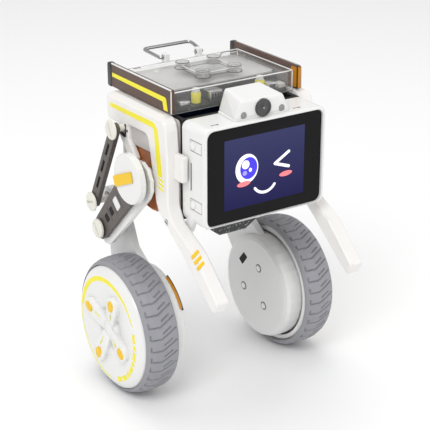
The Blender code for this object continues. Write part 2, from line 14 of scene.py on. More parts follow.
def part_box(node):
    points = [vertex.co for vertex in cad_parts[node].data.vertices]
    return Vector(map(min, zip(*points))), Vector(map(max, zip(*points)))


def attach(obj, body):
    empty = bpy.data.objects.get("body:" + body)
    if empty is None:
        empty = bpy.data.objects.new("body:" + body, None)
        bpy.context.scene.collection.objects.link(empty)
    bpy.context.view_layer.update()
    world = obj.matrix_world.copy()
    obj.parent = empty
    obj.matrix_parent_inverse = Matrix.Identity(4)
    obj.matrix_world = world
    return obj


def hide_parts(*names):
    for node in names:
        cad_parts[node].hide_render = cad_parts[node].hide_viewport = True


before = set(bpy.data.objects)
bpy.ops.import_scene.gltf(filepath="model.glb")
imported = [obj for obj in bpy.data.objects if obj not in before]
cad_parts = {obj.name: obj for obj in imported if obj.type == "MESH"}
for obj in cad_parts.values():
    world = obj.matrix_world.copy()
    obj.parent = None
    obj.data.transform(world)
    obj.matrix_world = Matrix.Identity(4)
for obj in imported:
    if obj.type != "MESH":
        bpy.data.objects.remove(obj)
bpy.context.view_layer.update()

MM = 0.001
SIDES = {"right": -1, "left": 1}

AXLE_HEIGHT = 31.8
WHEEL_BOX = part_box("right_tyre")
WHEEL_MIDDLE = (WHEEL_BOX[0] + WHEEL_BOX[1]) / 2 / MM
ORIGIN = Vector((0, WHEEL_MIDDLE.y, WHEEL_MIDDLE.z - AXLE_HEIGHT))


def in_mm(node):
    """A node's corners in millimetres, with the wheels' axle at y 0 and z AXLE_HEIGHT."""
    return [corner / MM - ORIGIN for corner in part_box(node)]


def middle(node):
    low, high = in_mm(node)
    return (low + high) / 2


def centre_of(node):
    """(y, z) of the middle of a round node."""
    return tuple(middle(node).yz)


AXLE = middle("right_tyre")
WHEEL_YZ = (0, AXLE.z)  # the axle is at y 0
HIP_YZ = centre_of("right_hip_cap")
KNEE_YZ = centre_of("right_knee_pin")
PIVOT_YZ = centre_of("right_pivot_pin")
ROD_PIN_YZ = centre_of("right_rod_pin")
ROD_FACE = [corner.x for corner in in_mm("left_rod_link")]
HANDLE_AXIS = (20.8, 144.2)
GLASS_LOW, GLASS_HIGH = in_mm("screen_glass")
HEAD_HIGH = in_mm("head_shell")[1]
ROOF_LOW, ROOF_HIGH = in_mm("top_housing")
HATCH_LOW, HATCH_HIGH = in_mm("top_hatch")
BOARD_TOP = in_mm("main_board")[1].z
WINDOW_LOW, WINDOW_HIGH = in_mm("left_side_window")
COVER_HIGH = in_mm("left_side_cover")[1]
TYRE_LOW, TYRE_HIGH = in_mm("left_tyre")
HUB_FACE = in_mm("left_wheel_hub")[1].x
CROSS_FACE = in_mm("left_hub_cap")[1].x
DRUM_FACE = in_mm("left_shank")[0].x


# ---------------------------------------------------------------- materials


def fill(tree, node, **inputs):
    """Sets the node's named inputs to values, or links them from other nodes' outputs."""
    for name, value in inputs.items():
        socket = node.inputs[name.replace("_", " ")]
        if isinstance(value, bpy.types.NodeSocket):
            tree.links.new(value, socket)
        else:
            socket.default_value = value
    return node


def new_node(tree, kind, **inputs):
    return fill(tree, tree.nodes.new(f"ShaderNode{kind}"), **inputs)


def blend(tree, share, first, second):
    """The colour between two, by share. Each is three numbers or another node's output."""
    mix = tree.nodes.new("ShaderNodeMix")
    mix.data_type = "RGBA"
    first, second = (c if isinstance(c, bpy.types.NodeSocket) else (*c, 1) for c in (first, second))
    return fill(tree, mix, Factor=share, A=first, B=second).outputs["Result"]


def grain(tree, place, bump, bump_scale, soften):
    """The normal of a finely rough surface, whose edges look rounded by soften millimetres."""
    noise = new_node(tree, "TexNoise", Vector=place, Scale=bump_scale, Detail=3.0).outputs["Fac"]
    relief = new_node(tree, "Bump", Height=noise, Strength=bump, Distance=0.0004)
    if soften:
        edges = new_node(tree, "Bevel", Radius=soften * MM)
        edges.samples = 4
        fill(tree, relief, Normal=edges.outputs["Normal"])
    return relief.outputs["Normal"]


def finish(
    name, colour, rough=0.4, metal=0.0, alpha=1.0, vary=0.04, vary_scale=60.0, bump=0.05, bump_scale=900.0,
    stretch=(1, 1, 1), coat=0.0, soften=0.0, fleck=None, glow=0.0, fade=None, shine=0.5,
):
    """A procedural Principled material.

    vary mottles the colour and the roughness, bump is the surface's grain, stretch pulls both along an axis,
    fleck = (scale, amount, colour) scatters specks, and fade = (low z, high z, colour) tints towards its top.
    """
    material = bpy.data.materials.new(name)
    material.use_nodes = True
    tree = material.node_tree
    place = new_node(tree, "TexCoord").outputs["Object"]
    stretched = new_node(tree, "Mapping", Vector=place, Scale=stretch).outputs["Vector"]
    mottle = new_node(tree, "TexNoise", Vector=stretched, Scale=vary_scale, Detail=4.0).outputs["Fac"]
    darker = [max(0.0, c * (1 - vary)) for c in colour]
    tint = blend(tree, mottle, darker, [min(1.0, c * (1 + vary)) for c in colour])
    if fade:
        low, high, top_colour = fade
        height = new_node(tree, "SeparateXYZ", Vector=place).outputs["Z"]
        share = new_node(tree, "MapRange", Value=height, From_Min=low * MM, From_Max=high * MM)
        tint = blend(tree, share.outputs["Result"], tint, top_colour)
    if fleck:
        scale, amount, fleck_colour = fleck
        cells = new_node(tree, "TexVoronoi", Vector=place, Scale=scale).outputs["Distance"]
        share = new_node(tree, "MapRange", Value=cells, From_Min=amount, From_Max=amount * 0.6)
        tint = blend(tree, share.outputs["Result"], tint, fleck_colour)
    smoothest, roughest = max(0.0, rough * 0.85), min(1.0, rough * 1.15)
    gloss = new_node(tree, "MapRange", Value=mottle, To_Min=smoothest, To_Max=roughest)
    shader = tree.nodes["Principled BSDF"]
    fill(
        tree, shader, Base_Color=tint, Metallic=metal, Alpha=alpha, Coat_Weight=coat, Coat_Roughness=0.08,
        Specular_IOR_Level=shine, Roughness=gloss.outputs["Result"],
        Normal=grain(tree, stretched, bump, bump_scale, soften),
    )
    if glow:
        fill(tree, shader, Emission_Color=tint, Emission_Strength=glow)
    return material


WHITE = (0.80, 0.80, 0.79)
AMBER = (0.88, 0.56, 0.008)
LEMON = (0.90, 0.80, 0.02)

LOOKS = {
    "white": finish("gloss_white_moulding", WHITE, 0.26, vary=0.015, bump=0.03, coat=0.3, soften=0.5),
    "warm_white": finish(
        "warm_white_moulding", (0.84, 0.82, 0.80), 0.3, vary=0.015, bump=0.03, coat=0.25, soften=0.6,
    ),
    "shank": finish(
        "satin_light_grey_moulding", (0.76, 0.76, 0.755), 0.36, vary=0.02, bump=0.05, soften=0.4,
    ),
    "panel": finish("satin_panel", (0.56, 0.53, 0.51), 0.4, vary=0.03, bump=0.08, soften=0.2),
    "black": finish("satin_black_moulding", (0.012, 0.012, 0.013), 0.45, bump=0.12, soften=0.3, shine=0.3),
    "belly": finish(
        "speckled_black", (0.035, 0.036, 0.038), 0.6, bump=0.3, bump_scale=1400,
        fleck=(900, 0.32, (0.35, 0.35, 0.36)),
    ),
    "graphite": finish(
        "brushed_graphite", (0.115, 0.100, 0.092), 0.42, metal=0.35, vary=0.2, vary_scale=400,
        bump=0.12, stretch=(1, 1, 4), soften=0.15,
    ),
    "pin": finish("ivory_pin_head", (0.77, 0.76, 0.68), 0.34, vary=0.03, bump=0.05, coat=0.2),
    "rubber": finish(
        "light_grey_rubber", (0.30, 0.30, 0.325), 0.62, vary=0.10, vary_scale=120, bump=0.25, bump_scale=1600,
    ),
    "amber": finish("amber_inlay", AMBER, 0.34, vary=0.03, bump=0.03, shine=0.3),
    "lemon": finish("lemon_print", LEMON, 0.36, vary=0.04, bump=0.04),
    "lemon_pale": finish("pale_lemon_print", (0.86, 0.83, 0.22), 0.36, vary=0.04, bump=0.04),
    "steel": finish("bright_steel", (0.62, 0.62, 0.63), 0.2, metal=1.0, vary=0.05, bump=0.04),
    "screw": finish("bright_screw", (0.86, 0.86, 0.85), 0.3, metal=0.5, vary=0.05, bump=0.04),
    "wire": finish("polished_wire", (0.42, 0.42, 0.43), 0.16, metal=1.0, vary=0.08, bump=0.03),
    "motor": finish(
        "turned_steel", (0.35, 0.35, 0.36), 0.35, metal=1.0, vary=0.1, stretch=(6, 1, 1), bump=0.1,
    ),
    "smoke": finish(
        "smoked_side_plate", (0.12, 0.070, 0.054), 0.22, alpha=0.88, vary=0.12, bump=0.02, shine=0.3,
    ),
    "smoke_end": finish("dark_end_cap", (0.02, 0.018, 0.018), 0.3, vary=0.1, bump=0.05),
    "gearbox": finish(
        "smoked_amber_gearbox", (0.36, 0.10, 0.012), 0.28, vary=0.3, vary_scale=90, bump=0.03, shine=0.3,
    ),
    "amber_clear": finish("amber_edge", (0.56, 0.23, 0.012), 0.2, vary=0.3, bump=0.02, shine=0.3),
    "clear": finish(
        "clear_housing", (0.84, 0.84, 0.83), 0.05, alpha=0.1, vary=0.05, vary_scale=25, bump=0.015, coat=0.3,
    ),
    # Painted highlight: near-white strips for light caught along the clear box's edges and rims; also the
    # handle clips' bright clear plastic.
    "clear_edge": finish(
        "clear_edge", (0.93, 0.93, 0.92), 0.12, alpha=0.85, vary=0.05, bump=0.02, coat=0.8,
    ),
    # Painted shade: dark lines on the clear box where its foot, dips and slots fall in shade.
    "clear_dark": finish(
        "clear_shadow_line", (0.22, 0.22, 0.22), 0.2, alpha=0.8, vary=0.1, bump=0.02, coat=0.6,
    ),
    "ring": finish("clear_ring", (0.62, 0.62, 0.60), 0.08, alpha=0.30, vary=0.05, bump=0.01, coat=0.5),
    "frost": finish(
        "frosted_diffuser", (0.60, 0.59, 0.575), 0.3, alpha=0.85, vary=0.25, vary_scale=60, bump=0.1,
    ),
    "board": finish(
        "board", (0.016, 0.022, 0.020), 0.4, vary=0.2, bump=0.1, fleck=(520, 0.22, (0.35, 0.30, 0.12))
    ),
    "chip": finish("chip_epoxy", (0.018, 0.018, 0.019), 0.5, bump=0.2),
    "socket": finish("nylon_socket", (0.68, 0.67, 0.62), 0.4, vary=0.04, bump=0.05),
    "heatsink": finish("blasted_aluminium", (0.48, 0.49, 0.50), 0.42, metal=0.9, bump=0.2),
    "battery": finish("shrink_sleeve", (0.02, 0.05, 0.18), 0.3, vary=0.1, bump=0.1, coat=0.3),
    "glass": finish("black_screen_glass", (0.008, 0.008, 0.009), 0.14, vary=0.1, bump=0.0, shine=0.1),
    "lens": finish("coated_lens", (0.012, 0.012, 0.016), 0.05, vary=0.2, bump=0.0, coat=1.0),
    "lens_ring": finish("lens_ring", (0.05, 0.05, 0.052), 0.35, vary=0.1, bump=0.08),
    "mesh": finish(
        "speaker_mesh", (0.28, 0.28, 0.28), 0.5, fleck=(2600, 0.3, (0.05, 0.05, 0.05)),
        bump=0.3, bump_scale=2600,
    ),
    # Painted shade: near-black fill for the floors of slots, holes, grooves, vents and openings.
    "slot": finish("shadow_slot", (0.018, 0.018, 0.018), 0.6, bump=0.05, shine=0.15),
    "lcd": finish(
        "lcd_picture", (0.010, 0.009, 0.060), 0.25, vary=0.02, bump=0.0, glow=0.35, shine=0.1,
        fade=(GLASS_LOW.z + 5, GLASS_HIGH.z - 5, (0.032, 0.034, 0.098)),
    ),
    "pixel_white": finish("lcd_white", (0.93, 0.94, 0.98), 0.3, vary=0.01, bump=0.0, glow=0.35),
    "pixel_blue": finish("lcd_blue", (0.035, 0.02, 0.55), 0.3, vary=0.02, bump=0.0, glow=0.6),
    "pixel_lilac": finish("lcd_lilac", (0.30, 0.26, 0.90), 0.3, vary=0.02, bump=0.0, glow=0.5),
    "pixel_pink": finish("lcd_pink", (0.85, 0.18, 0.20), 0.3, vary=0.02, bump=0.0, glow=0.4),
}


def dress(piece, look):
    piece.data.materials.clear()
    piece.data.materials.append(LOOKS[look])
    return piece


# ---------------------------------------------------------------- shapes


def add(name, mesh, look, body="body", replaces=(), sharp=35):
    """Links a mesh given in the frame's metres as a piece that rides on a body."""
    piece = bpy.data.objects.new(name, mesh)
    bpy.context.scene.collection.objects.link(piece)
    dress(piece, look)
    mesh.shade_smooth()
    mesh.set_sharp_from_angle(angle=math.radians(sharp))
    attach(piece, body)
    if replaces:
        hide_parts(*replaces)
    return piece


def to_mesh(name, work):
    mesh = bpy.data.meshes.new(name)
    bmesh.ops.recalc_face_normals(work, faces=work.faces)
    work.to_mesh(mesh)
    work.free()
    return mesh


def scaled(work):
    """From millimetres about the axle to the frame's metres."""
    bmesh.ops.translate(work, vec=ORIGIN, verts=work.verts)
    bmesh.ops.scale(work, vec=(MM, MM, MM), verts=work.verts)
    return work


def block(name, x, y, z, look, body="body", edge=0.25, **options):
    """A box with rounded edges between the two values of x, y and z."""
    work = bmesh.new()
    bmesh.ops.create_cube(work, size=1.0)
    bmesh.ops.scale(work, vec=[abs(b - a) for a, b in (x, y, z)], verts=work.verts)
    bmesh.ops.translate(work, vec=[(a + b) / 2 for a, b in (x, y, z)], verts=work.verts)
    if edge:
        bmesh.ops.bevel(work, geom=work.edges[:], offset=edge, segments=3, profile=0.5, affect="EDGES")
    return add(name, to_mesh(name, scaled(work)), look, body, **options)


def turn_mesh(name, profile, axis, centre, steps=64):
    """A turned solid. profile lists (radius, place along the axis); axis is X, Y or Z."""
    work = bmesh.new()
    rings = []
    for radius, along in profile:
        if radius <= 0:
            rings.append([work.verts.new((0, 0, along))])
            continue
        angles = (2 * math.pi * step / steps for step in range(steps))
        rings.append([work.verts.new((radius * math.cos(a), radius * math.sin(a), along)) for a in angles])
    for first, second in zip(rings, rings[1:] + rings[:1]):
        for step in range(steps):
            after = (step + 1) % steps
            corners = [first[step % len(first)], first[after % len(first)]]
            corners += [second[after % len(second)], second[step % len(second)]]
            corners = list(dict.fromkeys(corners))
            if len(corners) > 2:
                work.faces.new(corners)
    turn = {"X": Matrix.Rotation(math.radians(90), 4, "Y"), "Y": Matrix.Rotation(math.radians(-90), 4, "X")}
    bmesh.ops.transform(work, matrix=turn.get(axis, Matrix.Identity(4)), verts=work.verts)
    bmesh.ops.translate(work, vec=centre, verts=work.verts)
    return to_mesh(name, scaled(work))


def across_profile(side, profile):
    return [(radius, side * along) for radius, along in profile]


def disc(name, centre, radius, axis, low, high, look, body="body", edge=0.2, steps=48, **options):
    """A short round piece with softened rims between low and high along its axis."""
    soft = min(edge, (high - low) * 0.45)
    profile = [
        (0, high), (radius - soft, high), (radius - soft * 0.3, high - soft * 0.3), (radius, high - soft),
        (radius, low + soft), (radius - soft * 0.3, low + soft * 0.3), (radius - soft, low), (0, low),
    ]
    return add(name, turn_mesh(name, profile, axis, centre, steps), look, body, **options)


def rounded(corners, steps=6):
    """Outline points from (a, b, radius) corners."""
    points = []
    for index, (a, b, radius) in enumerate(corners):
        corner = Vector((a, b))
        if not radius:
            points.append(corner)
            continue
        before = (Vector(corners[index - 1][:2]) - corner).normalized()
        after = (Vector(corners[(index + 1) % len(corners)][:2]) - corner).normalized()
        half = before.angle(after) / 2
        hub = corner + (before + after).normalized() * radius / math.sin(half)
        start = corner + before * radius / math.tan(half) - hub
        end = corner + after * radius / math.tan(half) - hub
        turn = math.atan2(start.cross(end), start.dot(end))
        for step in range(steps + 1):
            angle = turn * step / steps
            cos, sin = math.cos(angle), math.sin(angle)
            points.append(hub + Vector((cos * start.x - sin * start.y, sin * start.x + cos * start.y)))
    return points


PLANES = {
    "X": lambda a, b, c: (c, a, b),
    "Y": lambda a, b, c: (a, c, b),
    "Z": lambda a, b, c: (a, b, c),
}


def slab_mesh(name, outline, axis, low, high, edge=0.0, segments=2):
    """A flat piece: an outline in the two other axes, between low and high along its own."""
    work = bmesh.new()
    put = PLANES[axis]
    ring = [work.verts.new(put(a, b, low)) for a, b in outline]
    face = work.faces.new(ring)
    made = bmesh.ops.extrude_face_region(work, geom=[face])
    moved = [item for item in made["geom"] if isinstance(item, bmesh.types.BMVert)]
    bmesh.ops.translate(work, vec=put(0, 0, high - low), verts=moved)
    bmesh.ops.recalc_face_normals(work, faces=work.faces)
    if edge:
        paired = [e for e in work.edges if len(e.link_faces) == 2]
        rims = [e for e in paired if max(len(f.verts) for f in e.link_faces) > 4]
        bmesh.ops.bevel(work, geom=rims, offset=edge, segments=segments, profile=0.5, affect="EDGES")
    return to_mesh(name, scaled(work))


def slab(name, outline, axis, low, high, look, body="body", edge=0.0, **options):
    return add(name, slab_mesh(name, outline, axis, low, high, edge), look, body, **options)


def ribbon(points, width):
    """The outline of a stripe of one width along a line of points, with square ends."""
    line = [Vector(p) for p in points]
    left, right = [], []
    for index, point in enumerate(line):
        before = (point - line[max(index - 1, 0)])
        after = (line[min(index + 1, len(line) - 1)] - point)
        headings = [v.normalized() for v in (before, after) if v.length > 1e-9]
        heading = sum(headings, Vector((0, 0))).normalized()
        stretch = 1 / max(0.5, heading.dot(headings[0]))
        normal = Vector((-heading.y, heading.x)) * width / 2 * stretch
        left.append(point + normal)
        right.append(point - normal)
    return left + right[::-1]


def paddle_strip(first, second, half_first, half_second, steps=10):
    """The outline of a strip with round ends of different widths."""
    first, second = Vector(first), Vector(second)
    heading = math.atan2(second.y - first.y, second.x - first.x)
    outline = []
    ends = ((second, heading - math.pi / 2, half_second), (first, heading + math.pi / 2, half_first))
    for centre, start, half in ends:
        for step in range(steps + 1):
            angle = start + math.pi * step / steps
            outline.append(centre + half * Vector((math.cos(angle), math.sin(angle))))
    return outline


def capsule(first, second, width, steps=8):
    """The outline of a stroke with round ends."""
    return paddle_strip(first, second, width / 2, width / 2, steps)


def oval(centre, wide, high, lean=0.0, steps=40):
    outline = []
    for step in range(steps):
        angle = 2 * math.pi * step / steps
        a, b = wide / 2 * math.cos(angle), high / 2 * math.sin(angle)
        cos, sin = math.cos(math.radians(lean)), math.sin(math.radians(lean))
        outline.append((centre[0] + a * cos - b * sin, centre[1] + a * sin + b * cos))
    return outline


def span(side, near, far):
    return sorted((side * near, side * far))


def on_side(name, side, outline, near, far, look, body="body", edge=0.0):
    """A flat piece on one side of the car, between two distances from its middle plane."""
    return slab(name, outline, "X", *span(side, near, far), look, body, edge)


def turned_on_side(name, side, profile, centre, look, body="body", steps=32, **options):
    """A turned piece about an axis across the car through centre, as (y, z)."""
    mesh = turn_mesh(name, across_profile(side, profile), "X", (0, *centre), steps)
    return add(name, mesh, look, body, **options)


def rectangle(a, b, radius=0.0):
    """The outline of a rectangle between the two values of a and of b."""
    return rounded([(a[0], b[0], radius), (a[1], b[0], radius), (a[1], b[1], radius), (a[0], b[1], radius)])


def ring_profile(inner, outer, low, high):
    return [(inner, low), (inner, high), (outer, high), (outer, low)]


def joined(name, meshes):
    """One mesh that holds several."""
    work = bmesh.new()
    for mesh in meshes:
        work.from_mesh(mesh)
        bpy.data.meshes.remove(mesh)
    return to_mesh(name, work)


def cut(mesh, tools):
    """The mesh less each of the tool meshes."""
    target = bpy.data.objects.new("target", mesh)
    bpy.context.scene.collection.objects.link(target)
    helpers = []
    for tool in tools:
        helper = bpy.data.objects.new("tool", tool)
        bpy.context.scene.collection.objects.link(helper)
        modifier = target.modifiers.new("cut", "BOOLEAN")
        modifier.object = helper
        helpers.append(helper)
    graph = bpy.context.evaluated_depsgraph_get()
    result = bpy.data.meshes.new_from_object(target.evaluated_get(graph))
    for helper in (*helpers, target):
        bpy.data.objects.remove(helper, do_unlink=True)
    return result


# ---------------------------------------------------------------- wheels

TREAD_PITCHES = 36
# Grooves within one pitch, as (distance from the car's middle, distance along the tread) strokes.
GROOVES = [
    ((48.6, -2.0), (48.6, 0.0)),
    ((48.6, 0.0), (43.6, 0.4)),
    ((43.6, 0.4), (36.2, -3.2)),
    ((42.4, -2.2), (38.6, -4.2)),
]


def stroke_distance(points, first, second):
    first, second = np.array(first), np.array(second)
    along = second - first
    share = np.clip((points - first) @ along / (along @ along), 0, 1)
    return np.linalg.norm(points - (first + share[..., None] * along), axis=-1)


def tread_depth(distance, travel, pitch):
    """How far the tread is sunk, between 0 and 1, for arrays of places on it."""
    depth = np.zeros(distance.shape)
    for first, second in GROOVES:
        for repeat in (-1, 0, 1):
            moved = np.stack([distance, (travel % pitch) + repeat * pitch], axis=-1)
            away = stroke_distance(moved, first, second)
            depth = np.maximum(depth, 1 - np.clip((away - 0.16) / 0.3, 0, 1))
    return depth * depth * (3 - 2 * depth)


def tyre_section(near, far, radius):
    """(radius, distance from the middle) round the tyre, from its inner bead to its outer one."""
    bead = 28.4
    inner_side = [(bead, near + 0.5), (bead + 0.4, near), (radius - 1.8, near), (radius - 1.0, near + 0.5)]
    places = np.linspace(near + 1.2, far - 1.6, 60)
    crown = np.interp(places, [near + 1.2, near + 2.4, near + 5, far - 6.8, far - 4, far - 1.6],
                      [0.55, 0.25, 0, 0, 0.3, 1.15])
    tread = [(radius - fall, place) for fall, place in zip(crown, places)]
    outer_side = [
        (radius - 1.5, far - 1.1), (radius - 2.0, far - 0.6), (radius - 2.5, far - 0.2),
        (bead + 0.2, far), (bead, far - 0.2),
    ]
    return inner_side + tread + outer_side


def tyre(word, side):
    near, far = TYRE_LOW.x, TYRE_HIGH.x
    radius = (TYRE_HIGH.z - TYRE_LOW.z) / 2
    section = np.array(tyre_section(near, far, radius))
    steps = TREAD_PITCHES * 18
    turn = np.arange(steps) * 2 * math.pi / steps
    radii = np.repeat(section[None, :, 0], steps, axis=0)
    across = np.repeat(section[None, :, 1], steps, axis=0)
    travel = np.repeat((turn * radius)[:, None], len(section), axis=1)
    # Both tyres carry the same tread, so on the left one it is the other way round across the car.
    place_on_tread = across if side < 0 else near + far - across
    sunk = tread_depth(place_on_tread, travel, 2 * math.pi * radius / TREAD_PITCHES)
    on_tread = (radii > radius - 1.3).astype(float)
    radii = radii - 0.75 * sunk * on_tread
    grid = np.stack(
        [side * across, radii * np.cos(turn)[:, None], AXLE.z + radii * np.sin(turn)[:, None]], axis=-1
    )
    grid += np.array(ORIGIN)
    count = len(section)
    mesh = bpy.data.meshes.new(f"{word}_tyre_tread")
    faces = []
    for step in range(steps):
        here, there = step * count, (step + 1) % steps * count
        for place in range(count):
            after = (place + 1) % count
            quad = (here + place, here + after, there + after, there + place)
            faces.append(quad if side > 0 else quad[::-1])
    mesh.from_pydata((grid.reshape(-1, 3) * MM).tolist(), [], faces)
    mesh.validate()
    add(mesh.name, mesh, "rubber", f"{word}_wheel", (f"{word}_tyre",), sharp=50)


def wheel_disc(word, side):
    """The dished white disc, which covers the rim, with a bowl in its middle whose floor is a grey disc of
    painted shade.
    """
    face, body = HUB_FACE, f"{word}_wheel"
    profile = [
        (0, face - 3.4), (7.4, face - 3.4), (8.8, face - 3.0), (9.9, face - 1.2), (10.8, face - 0.8),
        (21.6, face - 0.1), (24.3, face - 0.15), (24.8, face - 0.3), (25.8, face - 0.9), (27.2, face - 1.9),
        (28.0, face - 2.7), (28.2, face - 3.4), (28.2, 36.6), (28.0, 35.4), (27.0, 34.7), (26.0, 35.0),
        (25.8, 35.6), (26.4, 36.6), (26.5, face - 5.6), (25.6, face - 5.0), (2.4, face - 5.0),
        (2.3, face - 4.2), (0, face - 4.2),
    ]
    hub = (f"{word}_wheel_hub",)
    turned_on_side(f"{word}_wheel_disc", side, profile, WHEEL_YZ, "white", body, 96, replaces=hub, sharp=40)
    # A grey disc of painted shade on the bowl's floor.
    floor = [(0, face - 3.35), (7.8, face - 3.35), (8.7, face - 2.95), (8.7, face - 3.5), (0, face - 3.5)]
    turned_on_side(f"{word}_wheel_bowl_painted_shade", side, floor, WHEEL_YZ, "panel", body, 64)


LOBE_CIRCLE = 14.8
ARM_FALL = 0.2
LOBE_ANGLES = [math.radians(24 + 90 * turn) for turn in range(4)]


def on_face(angle, radius, offset=0.0):
    """(y, z) on the wheel's face at that angle and radius, moved sideways by offset."""
    return (
        radius * math.cos(angle) - offset * math.sin(angle),
        AXLE.z + radius * math.sin(angle) + offset * math.cos(angle),
    )


def paddle(inner, outer, half_inner, half_outer, angle, steps=14):
    """The outline of an arm that grows from its inner end to a round outer one."""
    outline = [on_face(angle, inner, half_inner), on_face(angle, inner, -half_inner)]
    for step in range(steps + 1):
        around = -math.pi / 2 + math.pi * step / steps
        outline.append(on_face(angle, outer + half_outer * math.cos(around), half_outer * math.sin(around)))
    return outline


def lean_in(mesh, side, angle):
    """Lets an arm of the cross fall towards the wheel's middle."""
    for vert in mesh.vertices:
        y, z = vert.co.y / MM - ORIGIN.y, vert.co.z / MM - ORIGIN.z - AXLE.z
        short = LOBE_CIRCLE - 3.0 - (y * math.cos(angle) + z * math.sin(angle))
        vert.co.x -= side * ARM_FALL * max(0.0, short) * MM
    return mesh


def hub_cross(word, side):
    """Four paddle arms that stand up from the bowl, each with an oval inlay."""
    body, top = f"{word}_wheel", CROSS_FACE - 0.25
    hump = [
        (0, top - 2.0), (4.5, top - 2.1), (6.2, top - 2.7), (7.0, top - 3.8), (7.2, top - 4.8),
        (0, top - 4.8),
    ]
    arms = [turn_mesh("middle", across_profile(side, hump), "X", (0, *WHEEL_YZ), 48)]
    for angle in LOBE_ANGLES:
        outline = paddle(3.0, LOBE_CIRCLE - 0.2, 3.0, 4.3, angle)
        arm = slab_mesh("arm", outline, "X", *span(side, HUB_FACE - 2.2, top), 0.45, 3)
        arms.append(lean_in(arm, side, angle))
    add(f"{word}_hub_cross", joined(f"{word}_hub_cross", arms), "white", body, (f"{word}_hub_cap",))
    for number, angle in enumerate(LOBE_ANGLES):
        inlay = oval(on_face(angle, LOBE_CIRCLE + 0.2), 5.6, 4.4, math.degrees(angle))
        on_side(f"{word}_hub_inlay_{number}", side, inlay, top - 0.3, CROSS_FACE, "amber", body, 0.12)
        line = capsule(on_face(angle, 6.4, 0.9), on_face(angle, 10.2, 0.9), 0.45)
        name = f"{word}_hub_line_{number}"
        mesh = slab_mesh(name, line, "X", *span(side, top - 0.2, top + 0.08))
        add(name, lean_in(mesh, side, angle), "lemon_pale", body)


def arc_outline(start, end, inner, outer, taper=0.0, steps=48):
    """A band of a ring between two angles in degrees. taper thins its far end."""
    there, back = [], []
    for step in range(steps + 1):
        share = step / steps
        angle = math.radians(start + (end - start) * share)
        thin = taper * max(0.0, share - 0.6) / 0.4 * (outer - inner)
        there.append(on_face(angle, outer))
        back.append(on_face(angle, inner + thin))
    return there + back[::-1]


def wheel_trim(word, side):
    """The yellow ring near the disc's edge: a bold arc, a thin one and a row of plain blocks."""
    arcs = [
        ("bold_arc", arc_outline(8, 156, 21.9, 24.0, 0.75), "lemon"),
        ("thin_arc", arc_outline(266, 366, 23.3, 24.0), "lemon_pale"),
    ]
    start = 164
    for number, length in enumerate((10, 6, 11, 5, 10, 6, 11, 9)):
        arcs.append((f"block_{number}", arc_outline(start, start + length, 21.9, 24.1, steps=10), "lemon"))
        start += length + 2.6
    for name, outline, look in arcs:
        on_side(f"{word}_trim_{name}", side, outline, HUB_FACE - 0.6, HUB_FACE - 0.02, look, f"{word}_wheel")


def drum_screw(name, side, centre, body):
    """A bright domed screw on the drum's inner face, in a dark ring of painted shade round its seat."""
    face = DRUM_FACE
    seat = ring_profile(1.6, 2.0, face - 0.06, face + 0.3)
    turned_on_side(f"{name}_seat", side, seat, centre, "slot", body)
    head = [(0, face - 0.7), (0.9, face - 0.6), (1.4, face - 0.3), (1.6, face + 0.3), (0, face + 0.3)]
    turned_on_side(name, side, head, centre, "screw", body)


def drum_fittings(word, side):
    """What shows on the motor's drum: three screws, a key hole and, on the right, a strip on its rim."""
    body, face = f"{word}_lower_leg", DRUM_FACE
    for number, degrees in enumerate((103, -20, -131)):
        drum_screw(f"{word}_drum_screw_{number}", side, on_face(math.radians(degrees), 10.2), body)
    # The key hole is a dark fill of painted shade.
    corners = [(13.7, 9.2, 0.4), (9.8, 13.9, 0.4), (6.9, 12.2, 0.4), (10.9, 7.2, 0.4)]
    hole = rounded([(a, AXLE.z + b, radius) for a, b, radius in corners])
    on_side(f"{word}_drum_key_hole", side, hole, face - 0.06, face + 0.3, "slot", body)
    if side < 0:
        strip = arc_outline(114, 151, 24.4, 25.12, steps=24)
        on_side(f"{word}_drum_rim_strip", side, strip, face + 0.9, face + 1.9, "amber_clear", body)
        line = arc_outline(112, 153, 24.4, 25.08, steps=24)
        on_side(f"{word}_drum_rim_line", side, line, face + 0.4, face + 0.9, "smoke_end", body)


# ---------------------------------------------------------------- legs

def slotted_pin(name, body, side, node, centre, slot_degrees):
    """A turned pin whose domed head has a screwdriver slot, in the place of its plain CAD node."""
    low, high = in_mm(node)
    tip, root = (high.x, low.x) if side > 0 else (-low.x, -high.x)
    under = tip - (1.6 if "knee" in node else 1.2)
    stem = 1.6 if "knee" not in node else 1.9
    profile = [
        (0, tip), (2.9, tip - 0.03), (3.8, tip - 0.14), (4.3, tip - 0.36), (4.5, tip - 0.65),
        (4.5, under + 0.2), (4.25, under), (stem, under), (stem, root + 0.2), (stem - 0.2, root), (0, root),
    ]
    mesh = turn_mesh(name, across_profile(side, profile), "X", (0, *centre), 48)
    angle = math.radians(slot_degrees)
    ends = [(centre[0] + s * 2.6 * math.cos(angle), centre[1] + s * 2.6 * math.sin(angle)) for s in (-1, 1)]
    low, high = span(side, tip - 0.8, tip + 1)
    tool = slab_mesh("slot", capsule(*ends, 1.1), "X", low, high)
    add(name, cut(mesh, [tool]), "pin", body, (node,), sharp=30)


def leg(word, side):
    thigh, rod = f"{word}_thigh", f"{word}_rod"
    slotted_pin(f"{word}_knee_pin_slotted", f"{word}_lower_leg", side, f"{word}_knee_pin", KNEE_YZ, 52)
    slotted_pin(f"{word}_rod_pin_slotted", rod, side, f"{word}_rod_pin", ROD_PIN_YZ, -18)
    slotted_pin(f"{word}_pivot_pin_slotted", "body", side, f"{word}_pivot_pin", PIVOT_YZ, 64)
    thigh_details(word, side, thigh)
    # Dark floors of painted shade in the rod's three slots.
    heading = (Vector(ROD_PIN_YZ) - Vector(PIVOT_YZ)).normalized()
    low, high = ROD_FACE[0] + 0.2, ROD_FACE[1] - 0.7
    for number, along in enumerate((12.0, 22.0, 32.0)):
        spot = Vector(PIVOT_YZ) + heading * along
        line = capsule(spot - heading * 3.2, spot + heading * 3.2, 1.9)
        on_side(f"{word}_rod_slot_floor_{number}", side, line, low, high, "slot", rod)


